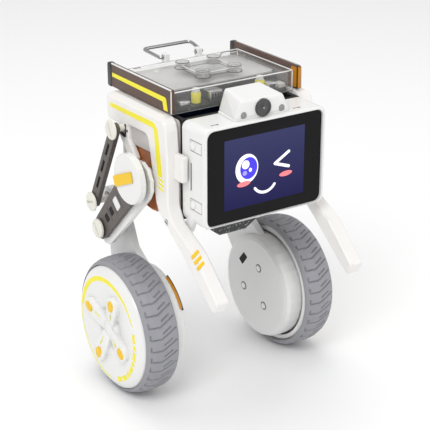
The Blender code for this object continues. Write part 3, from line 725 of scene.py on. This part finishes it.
def thigh_details(word, side, body):
    """The white pad in the plate's long window, the dark floors of painted shade in its two others and the
    ribs between.
    """
    hip, knee = Vector(HIP_YZ), Vector(KNEE_YZ)
    along = (knee - hip).normalized()
    over = Vector((-along.y, along.x))
    near, far = (corner.x for corner in in_mm("left_thigh_plate"))

    def window(distance, length, width):
        corners = []
        for a, b in ((-1, -1), (1, -1), (1, 1), (-1, 1)):
            spot = hip + along * (distance + a * length / 2) + over * (b * width / 2)
            corners.append((spot.x, spot.y, min(0.7, length * 0.4)))
        return rounded(corners)

    on_side(f"{word}_thigh_pad", side, window(22.5, 4.2, 5.8), near - 0.25, far + 0.25, "white", body, 0.3)
    for number, (distance, wide) in enumerate(((22.5, 6.4), (29.5, 4.6), (35.6, 4.4))):
        web = window(distance, 4.4, wide)
        on_side(f"{word}_thigh_web_{number}", side, web, near + 0.4, far - 0.35, "graphite", body)
    # Dark floors of painted shade in the two smaller windows.
    for number, distance in enumerate((29.5, 35.6)):
        floor = window(distance, 3.2, 3.8)
        on_side(f"{word}_thigh_window_floor_{number}", side, floor, near + 0.1, far + 0.04, "slot", body)
    for number, distance in enumerate((19.2, 26.1, 32.5, 38.9)):
        rib = window(distance, 0.8, 10.6 - 0.12 * distance)
        on_side(f"{word}_thigh_rib_{number}", side, rib, far - 0.3, far + 0.15, "graphite", body, 0.12)


# ---------------------------------------------------------------- covers


def cover_trim(word, side):
    """The printed stripe on the cover, its slashes, a screw and, on the right, the bars on the arm."""
    face = COVER_HIGH.x
    low, high = face - 0.15, face + 0.12
    stripe = rounded([
        (18.6, 129.2, 0), (-20.0, 130.0, 5.0), (-23.6, 107.4, 0), (-19.8, 107.4, 0), (-17.4, 127.4, 1.5),
        (18.6, 127.4, 0),
    ])
    on_side(f"{word}_cover_stripe", side, stripe, low, high, "lemon")
    for number, height in enumerate((106.0, 104.0, 102.0)):
        slash = [(-24.2, height), (-20.4, height + 1.0), (-20.4, height + 0.1), (-24.2, height - 0.9)]
        on_side(f"{word}_cover_slash_{number}", side, slash, low, high, "lemon")
    if side < 0:
        arm_bars(word, side)
    screw = [(0, face + 0.35), (1.1, face + 0.3), (1.4, face + 0.05), (1.4, face - 0.5), (0, face - 0.5)]
    turned_on_side(f"{word}_cover_screw", side, screw, (-26.4, 88.5), "steel")
    # The screw's slot is filled with painted shade.
    slot = capsule((-27.1, 88.2), (-25.7, 88.8), 0.35)
    on_side(f"{word}_cover_screw_slot", side, slot, face + 0.2, face + 0.42, "slot")


def arm_bars(word, side):
    """Three slanted amber bars that wrap over the outer edge of the arm's sloping top."""
    heading = Vector((-17.3, -15.7)).normalized()
    inward = Vector((-heading.y, heading.x))
    for number, distance in enumerate((-3.4, -0.7, 2.0)):
        root = Vector((-49.2, 79.1)) + heading * distance - inward * 0.15
        wide = heading * 1.55
        corners = [root, root + wide, root + wide + inward * 2.4, root + inward * 2.4]
        name = f"{word}_arm_bar_{number}"
        mesh = slab_mesh(name, corners, "X", *span(side, 35.0, COVER_HIGH.x + 0.12))
        for vert in mesh.vertices:
            if abs(vert.co.x) / MM < 36:
                vert.co.y -= heading.x * 1.5 * MM
                vert.co.z -= heading.y * 1.5 * MM
        add(name, mesh, "amber")


def arch_fittings(word, side):
    """The grey panel at the top of the arch, a dark line of painted shadow beside the panel's edge, and the
    black link and the small hole, a dark fill of painted shade, on the rod's post.
    """
    face = COVER_HIGH.x
    panel = rounded([(4.0, 122.5, 0), (-11.0, 122.5, 2.0), (-12.6, 114.8, 0.6), (4.0, 114.4, 0.6)])
    link = capsule((11.0, 118.2), (6.0, 117.6), 1.3)
    # A dark line of painted shadow cast by the panel's edge.
    line = capsule((6.0, 122.4), (6.0, 117.6), 0.7)
    on_side(f"{word}_arch_panel", side, panel, 35.5, 36.4, "panel", edge=0.25)
    on_side(f"{word}_post_link", side, link, face + 0.05, face + 0.9, "black", edge=0.25)
    on_side(f"{word}_panel_edge_painted_shadow", side, line, face - 0.1, face + 0.3, "black", edge=0.1)
    on_side(f"{word}_post_hole", side, oval((4.8, 119.9), 0.9, 1.1), face - 0.1, face + 0.08, "slot")


# ---------------------------------------------------------------- roof


def side_plate_trim(word, side):
    """The smoked plate's stripe, dark rear end, front line of painted highlight, amber inlay and bright top
    line of painted highlight.
    """
    near, face = WINDOW_LOW.x, WINDOW_HIGH.x
    front, back, foot, top = WINDOW_LOW.y, WINDOW_HIGH.y, WINDOW_LOW.z, WINDOW_HIGH.z
    stripe = rounded([
        (24.6, 140.2, 0), (-19.6, 140.2, 1.6), (-20.8, 134.6, 0), (-17.8, 134.6, 0), (-16.9, 138.0, 0.8),
        (24.6, 138.5, 0),
    ])
    on_side(f"{word}_plate_stripe", side, stripe, face - 0.1, face + 0.15, "lemon")
    rear = rounded([
        (back - 3.0, foot - 0.1, 0.3), (back + 0.2, foot - 0.1, 1.2), (back + 0.2, top + 0.1, 1.2),
        (back - 3.0, top + 0.1, 0.3),
    ])
    on_side(f"{word}_plate_rear_end", side, rear, near - 0.1, face + 0.2, "smoke_end", edge=0.2)
    # A bright line of painted highlight down the plate's front corner.
    corner = (side * face, front)
    rod(f"{word}_plate_front_line", (*corner, foot + 0.4), (*corner, top - 0.4), 0.25, "clear_edge")
    if side > 0:
        edge = rectangle((front - 0.15, front + 1.0), (foot + 0.6, top - 0.6))
        on_side(f"{word}_plate_front_edge", side, edge, near, face - 0.5, "amber_clear", edge=0.3)
    inlay = rectangle((front + 1.0, front + 5.0), (foot + 0.8, top - 0.8), 0.5)
    on_side(f"{word}_plate_amber_inlay", side, inlay, near - 0.2, near + 0.2, "amber_clear")
    # A bright line of painted highlight along the plate's top edge.
    ridge = ribbon([(front + 0.4, top - 0.1), (back - 3.2, top - 0.1)], 0.5)
    on_side(f"{word}_plate_top_line", side, ridge, face - 0.5, face + 0.1, "clear_edge")


def roof_edges():
    """The rims of the clear box as bright strips of painted highlight, and a dark line of painted shade along
    its front foot.
    """
    x, front, back = ROOF_HIGH.x - 0.2, ROOF_LOW.y + 0.2, ROOF_HIGH.y - 0.2
    top, foot = ROOF_HIGH.z - 0.25, ROOF_LOW.z + 0.3
    corners = [(-x, front), (x, front), (x, back), (-x, back)]
    for number, (a, b) in enumerate(zip(corners, corners[1:] + corners[:1])):
        rod(f"roof_rim_{number}", (*a, top), (*b, top), 0.28, "clear_edge")
        rod(f"roof_post_{number}", (*a, top), (*a, foot), 0.28, "clear_edge")
    rod("roof_foot_line", (-x, front, foot), (x, front, foot), 0.22, "clear_dark")


def rod(name, first, second, radius, look, body="body", steps=12):
    """A thin round bar with rounded ends between two points."""
    first, second = Vector(first), Vector(second)
    length = (second - first).length
    profile = [(0, 0), (radius * 0.7, radius * 0.3), (radius, radius), (radius, length - radius),
               (radius * 0.7, length - radius * 0.3), (0, length)]
    mesh = turn_mesh(name, profile, "Z", (0, 0, 0), steps)
    turn = (second - first).to_track_quat("Z", "Y").to_matrix().to_4x4()
    home = Matrix.Translation(ORIGIN * MM)
    mesh.transform(home @ Matrix.Translation(first * MM) @ turn @ home.inverted())
    return add(name, mesh, look, body)


def level_outline(name, corners, width, low, high, look):
    """A thin closed line round a level outline of (x, y, radius) corners."""
    middle_x = sum(corner[0] for corner in corners) / 4
    middle_y = sum(corner[1] for corner in corners) / 4
    inner = [
        (x - math.copysign(width, x - middle_x), y - math.copysign(width, y - middle_y), radius - width)
        for x, y, radius in corners
    ]
    outer = slab_mesh(name, rounded(corners, 8), "Z", low, high)
    tool = slab_mesh("tool", rounded(inner, 8), "Z", low - 1, high + 1)
    return add(name, cut(outer, [tool]), look, "body")


def hatch_ring(name, spot, base, top):
    """A clear collar round a small screw, with dark lines of painted shade at its mouth and its foot and a
    bright ring of painted highlight inside its mouth.
    """
    profile = [
        (3.3, base + 0.2), (3.1, top - 0.3), (2.9, top), (2.5, top), (2.3, top - 0.3), (2.3, base + 0.2),
    ]
    add(name, turn_mesh(name, profile, "Z", (*spot, 0), 40), "ring")
    mouth, foot = top - 0.01, base + 0.45
    lines = ((mouth, 3.06, 0.26, "smoke_end"), (mouth, 2.5, 0.2, "clear_edge"), (foot, 3.5, 0.3, "smoke_end"))
    for number, (level, radius, wide, look) in enumerate(lines):
        ring = ring_profile(radius - wide, radius, level - 0.2, level)
        add(f"{name}_line_{number}", turn_mesh(f"{name}_line_{number}", ring, "Z", (*spot, 0), 40), look)
    disc(f"{name}_screw", (*spot, 0), 1.2, "Z", base + 0.1, base + 0.8, "motor", steps=24)


def hatch():
    """The raised lid on the roof with a ring at each corner."""
    low, high = HATCH_LOW, HATCH_HIGH
    base, top = low.z, high.z
    corners = [(low.x, low.y, 3.2), (high.x, low.y, 3.2), (high.x, high.y, 3.2), (low.x, high.y, 3.2)]
    slab("hatch_lid", rounded(corners, 8), "Z", base, top - 1.3, "ring", "body", 0.5, replaces=("top_hatch",))
    # A bright line of painted highlight round the lid's upper edge, and a dark line of painted shade round
    # its foot.
    level_outline("hatch_edge_line", corners, 0.5, top - 1.5, top - 1.28, "clear_edge")
    level_outline("hatch_shadow_line", corners, 0.4, base, base + 0.3, "clear_dark")
    spots = [(x, y) for x in (low.x + 1.4, high.x - 1.4) for y in (low.y + 0.2, high.y - 0.6)]
    for number, spot in enumerate(spots):
        hatch_ring(f"hatch_ring_{number}", spot, base, top)


def ring_arc(name, centre, radius, width, start, end, low, high, look, steps=32):
    """Part of a flat ring on a level surface."""
    there, back = [], []
    for step in range(steps + 1):
        angle = math.radians(start + (end - start) * step / steps)
        heading = Vector((math.cos(angle), math.sin(angle)))
        there.append(Vector(centre) + heading * (radius + width / 2))
        back.append(Vector(centre) + heading * (radius - width / 2))
    slab(name, there + back[::-1], "Z", low, high, look, "body")


def roof_marks():
    """The finger dip's rim and the vent slot, both dark with painted shade, the seam as a bright line of
    painted highlight, and the pale diffuser under the roof.
    """
    top = ROOF_HIGH.z
    ring_arc("roof_finger_dip_edge", (23.4, 14.4), 5.6, 0.6, -60, 160, top - 0.1, top + 0.12, "clear_dark")
    vent = capsule((-25.4, 19.4), (-22.2, 19.4), 0.7)
    slab("roof_vent_slot", vent, "Z", top - 0.1, top + 0.1, "clear_dark")
    slab("roof_seam", ribbon([(-30, 17.5), (30, 17.5)], 0.35), "Z", top - 0.1, top + 0.08, "clear_edge")
    slab("roof_diffuser", rectangle((-28.5, 28.5), (-10.5, 21.0), 3), "Z", 139.0, 139.9, "frost", edge=0.25)


def pillar(name, x, y):
    """A yellow stand-off with a white cap between the board and the clear box."""
    foot = BOARD_TOP
    post = [(0, foot + 4.6), (1.9, foot + 4.6), (2.1, foot + 4.3), (2.1, foot + 0.2), (1.9, foot), (0, foot)]
    add(name, turn_mesh(name, post, "Z", (x, y, 0), 32), "lemon")
    cap = [(0, foot + 6.4), (1.2, foot + 6.4), (1.5, foot + 6.1), (1.7, foot + 4.7), (0, foot + 4.7)]
    add(f"{name}_cap", turn_mesh(f"{name}_cap", cap, "Z", (x, y, 0), 32), "socket")


def roof_inside():
    """What shows through the clear box: stand-offs, sockets with openings of painted shade, a dark sheet of
    painted shade behind them, and chips on the board.
    """
    for row, y in (("front", -14.6), ("rear", 17.0)):
        for word, x in (("right", -15.4), ("left", 17.4)):
            pillar(f"{row}_{word}_pillar", x, y)
    top = BOARD_TOP
    block("front_socket", (-10.6, -4.0), (-18.0, -11.5), (top, top + 4.8), "steel", edge=0.5)
    for number in range(4):
        x = -9.6 + number * 1.45
        way = (top + 1.2, top + 3.6)
        # The openings of the sockets are dark fills of painted shade.
        block(f"front_socket_way_{number}", (x, x + 0.8), (-18.2, -17.6), way, "slot", edge=0.1)
    block("metal_socket", (19.2, 24.4), (-18.0, -12.0), (top, top + 3.4), "steel", edge=0.5)
    block("metal_socket_mouth", (20.0, 23.6), (-18.15, -17.6), (top + 0.7, top + 2.7), "slot", edge=0.3)
    block("side_socket", (25.4, 29.0), (-17.6, -13.4), (top, top + 2.0), "socket", edge=0.3)
    block("low_plug", (-25.2, -20.2), (-17.9, -13.6), (top, top + 2.4), "steel", edge=0.6)
    # A dark sheet of painted shade across the board behind the front sockets.
    block("front_shade", (-28.6, 28.6), (-11.6, -11.0), (top, top + 5.0), "slot", edge=0.2)
    for number, (x, y, wide, deep, high) in enumerate((
        (-25.0, -8.0, 5.0, 5.0, 1.2), (-24.5, 4.0, 6.0, 4.0, 1.6), (22.0, -4.0, 7.0, 7.0, 1.4),
        (23.0, 8.0, 4.5, 6.0, 1.8), (-18.0, 12.0, 5.0, 5.0, 2.2), (2.5, -15.5, 4.0, 3.0, 1.6),
    )):
        block(f"board_chip_{number}", (x - wide / 2, x + wide / 2), (y - deep / 2, y + deep / 2),
              (top, top + high), "chip" if number % 2 else "heatsink", edge=0.2)
    for number in range(7):
        y = -7.6 + number * 2.8
        block(f"heatsink_fin_{number}", (-11.2, 11.2), (y, y + 0.9), (138.0, 138.9), "heatsink", edge=0.15)


def handle():
    """The bail of bright wire, with its ends turned into the clips."""
    high = in_mm("carry_handle")[1]
    wire = 0.8
    pin, bend = 7.0, high.x - wire - 1.2
    y_pin, z_pin = HANDLE_AXIS
    y_bar, z_bar = high.y - wire, high.z - wire
    corner = 2.0
    half = [
        (pin, y_pin, z_pin), (bend - 0.9, y_pin, z_pin), (bend - 0.25, y_pin + 0.25, z_pin),
        (bend, y_pin + 1.0, z_pin),
    ]
    for step in range(7):
        angle = math.radians(90 * step / 6)
        across = high.x - wire - corner + corner * math.cos(angle)
        half.append((across, y_bar - corner + corner * math.sin(angle), z_bar - 0.15 * (1 - step / 6)))
    route = half + [(-x, y, z) for x, y, z in reversed(half)]
    curve = bpy.data.curves.new("carry_handle_wire", "CURVE")
    curve.dimensions = "3D"
    curve.bevel_depth = wire * MM
    curve.bevel_resolution = 5
    curve.use_fill_caps = True
    spline = curve.splines.new("POLY")
    spline.points.add(len(route) - 1)
    for point, (x, y, z) in zip(spline.points, route):
        point.co = (*((Vector((x, y, z)) + ORIGIN) * MM), 1)
    source = bpy.data.objects.new("handle_source", curve)
    bpy.context.scene.collection.objects.link(source)
    graph = bpy.context.evaluated_depsgraph_get()
    mesh = bpy.data.meshes.new_from_object(source.evaluated_get(graph))
    bpy.data.objects.remove(source, do_unlink=True)
    mesh.name = "carry_handle_wire"
    add(mesh.name, mesh, "wire", "handle", ("carry_handle",), sharp=60)


# ---------------------------------------------------------------- head

SCREEN_WIDE, SCREEN_HIGH = 40.8, 30.6


def on_screen(u, v):
    """(x, z) at a fraction of the picture's width from its left edge and of its height from its top."""
    middle_z = (GLASS_LOW.z + GLASS_HIGH.z) / 2
    return (u - 0.5) * SCREEN_WIDE, middle_z + (0.5 - v) * SCREEN_HIGH


def picture_piece(name, outline, layer, look):
    """A flat part of the picture. Each layer stands a little in front of the one below."""
    front = GLASS_LOW.y - 0.05 - 0.05 * layer
    slab(name, outline, "Y", front, GLASS_LOW.y + 0.3, look, "body")


def screen_picture():
    """A lit display with a plain winking emoticon."""
    left, top = on_screen(0, 0)
    right, bottom = on_screen(1, 1)
    picture_piece("lcd_area", [(left, bottom), (right, bottom), (right, top), (left, top)], 0, "lcd")
    eye = on_screen(0.275, 0.455)
    picture_piece("eye_white", oval(eye, 11.4, 12.8, 0), 1, "pixel_white")
    iris = (eye[0] + 0.9, eye[1] + 0.1)
    picture_piece("eye_iris", oval(iris, 8.6, 9.6), 2, "pixel_blue")
    picture_piece("eye_glint", oval((iris[0] - 1.6, iris[1] + 1.8), 3.8, 3.8), 3, "pixel_white")
    picture_piece("eye_spark", oval((iris[0] + 0.8, iris[1] - 0.9), 1.5, 1.7), 3, "pixel_white")
    picture_piece("eye_glow", oval((iris[0] - 2.0, iris[1] - 1.9), 2.2, 2.0), 3, "pixel_lilac")
    wink = [on_screen(0.80, 0.34), on_screen(0.625, 0.475), on_screen(0.80, 0.555)]
    for number, (first, second) in enumerate(zip(wink, wink[1:])):
        picture_piece(f"wink_stroke_{number}", capsule(first, second, 1.3), 1 + number, "pixel_white")
    smile_middle, smile_radius = Vector(on_screen(0.50, 0.655)), 6.1
    arc = [math.radians(215 + 110 * step / 16) for step in range(17)]
    smile = [smile_middle + smile_radius * Vector((math.cos(a), math.sin(a))) for a in arc]
    picture_piece("smile", ribbon(smile, 1.2), 1, "pixel_white")
    for number, end in enumerate((smile[0], smile[-1])):
        picture_piece(f"smile_end_{number}", oval(end, 1.2, 1.2), 2, "pixel_white")
    picture_piece("blush_right", oval(on_screen(0.235, 0.665), 6.6, 2.2, 4), 4, "pixel_pink")
    picture_piece("blush_left", oval(on_screen(0.765, 0.655), 6.6, 2.2, 4), 2, "pixel_pink")


def camera_details():
    """The ring and the stepped glass of the lens, and a microphone on each side of it."""
    face, z = in_mm("camera_lens")[0].y, middle("camera_lens").z
    ring = [
        (2.7, face + 1.4), (2.7, face - 0.15), (3.0, face - 0.35), (3.4, face - 0.35), (3.7, face - 0.1),
        (3.7, face + 1.4),
    ]
    add("lens_ring", turn_mesh("lens_ring", ring, "Y", (0, 0, z), 64), "lens_ring")
    steps = ((2.1, 0.12, "lens_ring"), (1.25, 0.2, "lens"), (0.45, 0.3, "motor"))
    for number, (radius, proud, look) in enumerate(steps):
        shape = [
            (0, face - proud), (radius * 0.8, face - proud), (radius, face - proud + 0.1),
            (radius, face + 0.4), (0, face + 0.4),
        ]
        add(f"lens_step_{number}", turn_mesh(f"lens_step_{number}", shape, "Y", (0, 0, z), 48), look)
    front = in_mm("camera_housing")[0].y
    for word, side in SIDES.items():
        spot = (side * 9.6, 0, HEAD_HIGH.z + 2.0)
        disc(f"{word}_microphone", spot, 1.5, "Y", front - 0.15, front + 1.5, "mesh", edge=0.15, steps=32)


def camera_skirt():
    """The low foot that flares out round the camera's hump."""
    low, high = in_mm("camera_housing")
    foot = HEAD_HIGH.z
    corners = [(low.x - 0.9, low.y - 0.2, 2.0), (high.x + 0.9, low.y - 0.2, 2.0),
               (high.x - 0.6, high.y - 0.5, 2.0), (low.x + 0.6, high.y - 0.5, 2.0)]
    slab("camera_skirt", rounded(corners), "Z", foot - 0.1, foot + 0.7, "white", edge=0.35)


def head_details():
    """The slits on the head's top, filled with painted shade, and on each side the groove, also filled with
    painted shade, the buttons and the bracket's pin.
    """
    half, top = HEAD_HIGH.x, HEAD_HIGH.z
    for number, x in enumerate((-22.9, 18.5)):
        slit, lip = (top - 1.0, top + 0.04), (top - 0.4, top + 0.25)
        # Each slit is filled with painted shade.
        block(f"head_slit_{number}", (x - 1.8, x + 1.8), (-40.4, -39.6), slit, "slot", edge=0.1)
        block(f"head_slit_lip_{number}", (x - 1.9, x + 0.4), (-41.3, -40.6), lip, "white", edge=0.15)
    for word, side in SIDES.items():
        depth = span(side, half - 1.25, half - 0.5)
        # The groove is filled with painted shade.
        block(f"{word}_head_groove", depth, (-34.8, -33.6), (103.7, 115.8), "slot", edge=0.1)
        for level in ("upper", "lower"):
            button_details(word, side, level)
        lobe = paddle_strip((-33.6, 90.2), (-31.6, 86.6), 2.2, 2.6)
        on_side(f"{word}_head_bracket", side, lobe, half - 2.0, half + 0.2, "shank", edge=0.35)
        pin = [(0, half + 0.9), (0.8, half + 0.85), (1.2, half + 0.5), (1.2, half - 0.5), (0, half - 0.5)]
        turned_on_side(f"{word}_head_pin", side, pin, (-31.6, 86.6), "steel")


def button_details(word, side, level):
    """The shadow in the slot round a button's tongue, and the round nub at the tongue's end."""
    name = f"{word}_{level}"
    low, high = in_mm(f"{name}_button")
    middle_y, middle_z = (low.y + high.y) / 2, (low.z + high.z) / 2
    half_y, half_z = (high.y - low.y) / 2 + 0.16, (high.z - low.z) / 2 + 0.16
    depth, along = span(side, HEAD_HIGH.x - 1.4, HEAD_HIGH.x - 0.25), (middle_y - half_y, middle_y + half_y)
    for number, z in enumerate((middle_z - half_z, middle_z + half_z)):
        block(f"{name}_slot_{number}", depth, along, (z - 0.12, z + 0.12), "slot", edge=0.03)
    end = (along[1] - 0.12, along[1] + 0.12)
    block(f"{name}_slot_end", depth, end, (middle_z - half_z, middle_z + half_z), "slot", edge=0.03)
    proud = HEAD_HIGH.x + 1.0
    nub = [(0, proud), (1.1, proud - 0.1), (1.65, proud - 0.5), (1.85, proud - 1.1), (0, proud - 1.2)]
    turned_on_side(f"{name}_nub", side, nub, (middle_y + 2.1, middle_z), "white", f"{name}_button_body", 36)


def back_details():
    """Four screws whose slots are filled with painted shade, and a row of vents filled with painted shade, on
    the frame's back.
    """
    low, high = in_mm("chassis_frame")
    for number, (x, z) in enumerate((x, z) for x in (-25.0, 25.0) for z in (low.z + 5, high.z - 5)):
        rear = (high.y - 0.3, high.y + 0.5)
        disc(f"back_screw_{number}", (x, 0, z), 1.5, "Y", *rear, "steel", edge=0.3, steps=32)
        slot = capsule((x - 0.8, z - 0.4), (x + 0.8, z + 0.4), 0.4)
        slab(f"back_screw_slot_{number}", slot, "Y", high.y + 0.3, high.y + 0.54, "slot")
    for number in range(7):
        x = -13.5 + number * 4.5
        rim = capsule((x, low.z + 10), (x, low.z + 22), 2.2)
        slab(f"back_vent_rim_{number}", rim, "Y", high.y - 0.2, high.y + 0.3, "graphite", edge=0.15)
        vent = capsule((x, low.z + 10), (x, low.z + 22), 1.3)
        slab(f"back_vent_{number}", vent, "Y", high.y - 0.2, high.y + 0.34, "slot")


# ---------------------------------------------------------------- carried-over CAD

CAD_LOOKS = {
    "shank": "shank", "thigh_plate": "graphite", "thigh_band": "white", "hip_cap": "white",
    "hip_cap_bar": "amber", "rod_link": "graphite", "wheel_motor": "motor", "side_cover": "warm_white",
    "inner_panel": "panel", "servo_gearbox": "gearbox", "leg_servo": "black", "upper_button": "white",
    "lower_button": "white", "side_window": "smoke", "handle_clip": "clear_edge",
    "battery_pack": "battery", "belly_pan": "belly", "camera_housing": "white", "camera_lens": "lens",
    "chassis_frame": "black", "compute_module": "heatsink", "display_module": "black", "head_shell": "white",
    "main_board": "board", "screen_glass": "glass", "speaker": "mesh", "top_housing": "clear",
}


def dress_cad():
    """Gives every shown CAD node its finish and smooths its curved faces, with no change to its shape."""
    for name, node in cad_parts.items():
        plain = name.removeprefix("right_").removeprefix("left_")
        if plain not in CAD_LOOKS:
            continue
        dress(node, CAD_LOOKS[plain])
        node.data.shade_smooth()
        node.data.set_sharp_from_angle(angle=math.radians(32))


# ---------------------------------------------------------------- studio


def studio():
    floor = bpy.data.meshes.new("floor")
    half = 3.0
    corners = [(-half, -half, 0), (half, -half, 0), (half, half, 0), (-half, half, 0)]
    floor.from_pydata(corners, [], [(0, 1, 2, 3)])
    piece = bpy.data.objects.new("floor", floor)
    bpy.context.scene.collection.objects.link(piece)
    floor.materials.append(finish("pale_floor", (0.93, 0.93, 0.93), 0.8, vary=0.005, vary_scale=3, bump=0.0))
    world = bpy.data.worlds.new("studio")
    world.use_nodes = True
    world.node_tree.nodes["Background"].inputs["Color"].default_value = (1, 1, 1, 1)
    world.node_tree.nodes["Background"].inputs["Strength"].default_value = 0.62
    bpy.context.scene.world = world
    lamp("key", (-0.7, -0.5, 1.0), 0.6, 7.0)
    lamp("fill", (0.9, -0.7, 0.5), 0.9, 2.5)
    lamp("top", (0.1, 0.4, 1.2), 0.8, 4.0)
    bpy.context.scene.view_settings.view_transform = "Standard"


def lamp(name, place, size, power):
    light = bpy.data.lights.new(name, "AREA")
    light.size, light.energy = size, power
    holder = bpy.data.objects.new(name, light)
    holder.location = place
    holder.rotation_euler = (Vector((0, 0, 0.07)) - Vector(place)).to_track_quat("-Z", "Y").to_euler()
    bpy.context.scene.collection.objects.link(holder)


def camera():
    """The photograph's view: from the robot's front right, a little above."""
    aim = (Vector((3.955, 0, 73.268)) + ORIGIN) * MM
    azimuth, elevation, distance = math.radians(-33.75), math.radians(22.28), 0.6129
    level = math.cos(elevation)
    away = Vector((math.sin(azimuth) * level, -math.cos(azimuth) * level, math.sin(elevation)))
    lens = bpy.data.cameras.new("camera")
    lens.lens, lens.sensor_width = 113.26, 36.0
    holder = bpy.data.objects.new("camera", lens)
    holder.location = aim + away * distance
    holder.rotation_euler = (-away).to_track_quat("-Z", "Y").to_euler()
    bpy.context.scene.collection.objects.link(holder)
    bpy.context.scene.camera = holder


# ---------------------------------------------------------------- build

dress_cad()
for side_word, side_sign in SIDES.items():
    tyre(side_word, side_sign)
    wheel_disc(side_word, side_sign)
    hub_cross(side_word, side_sign)
    wheel_trim(side_word, side_sign)
    drum_fittings(side_word, side_sign)
    leg(side_word, side_sign)
    cover_trim(side_word, side_sign)
    arch_fittings(side_word, side_sign)
    side_plate_trim(side_word, side_sign)
roof_edges()
hatch()
roof_marks()
roof_inside()
handle()
screen_picture()
camera_details()
camera_skirt()
head_details()
back_details()
studio()
camera()
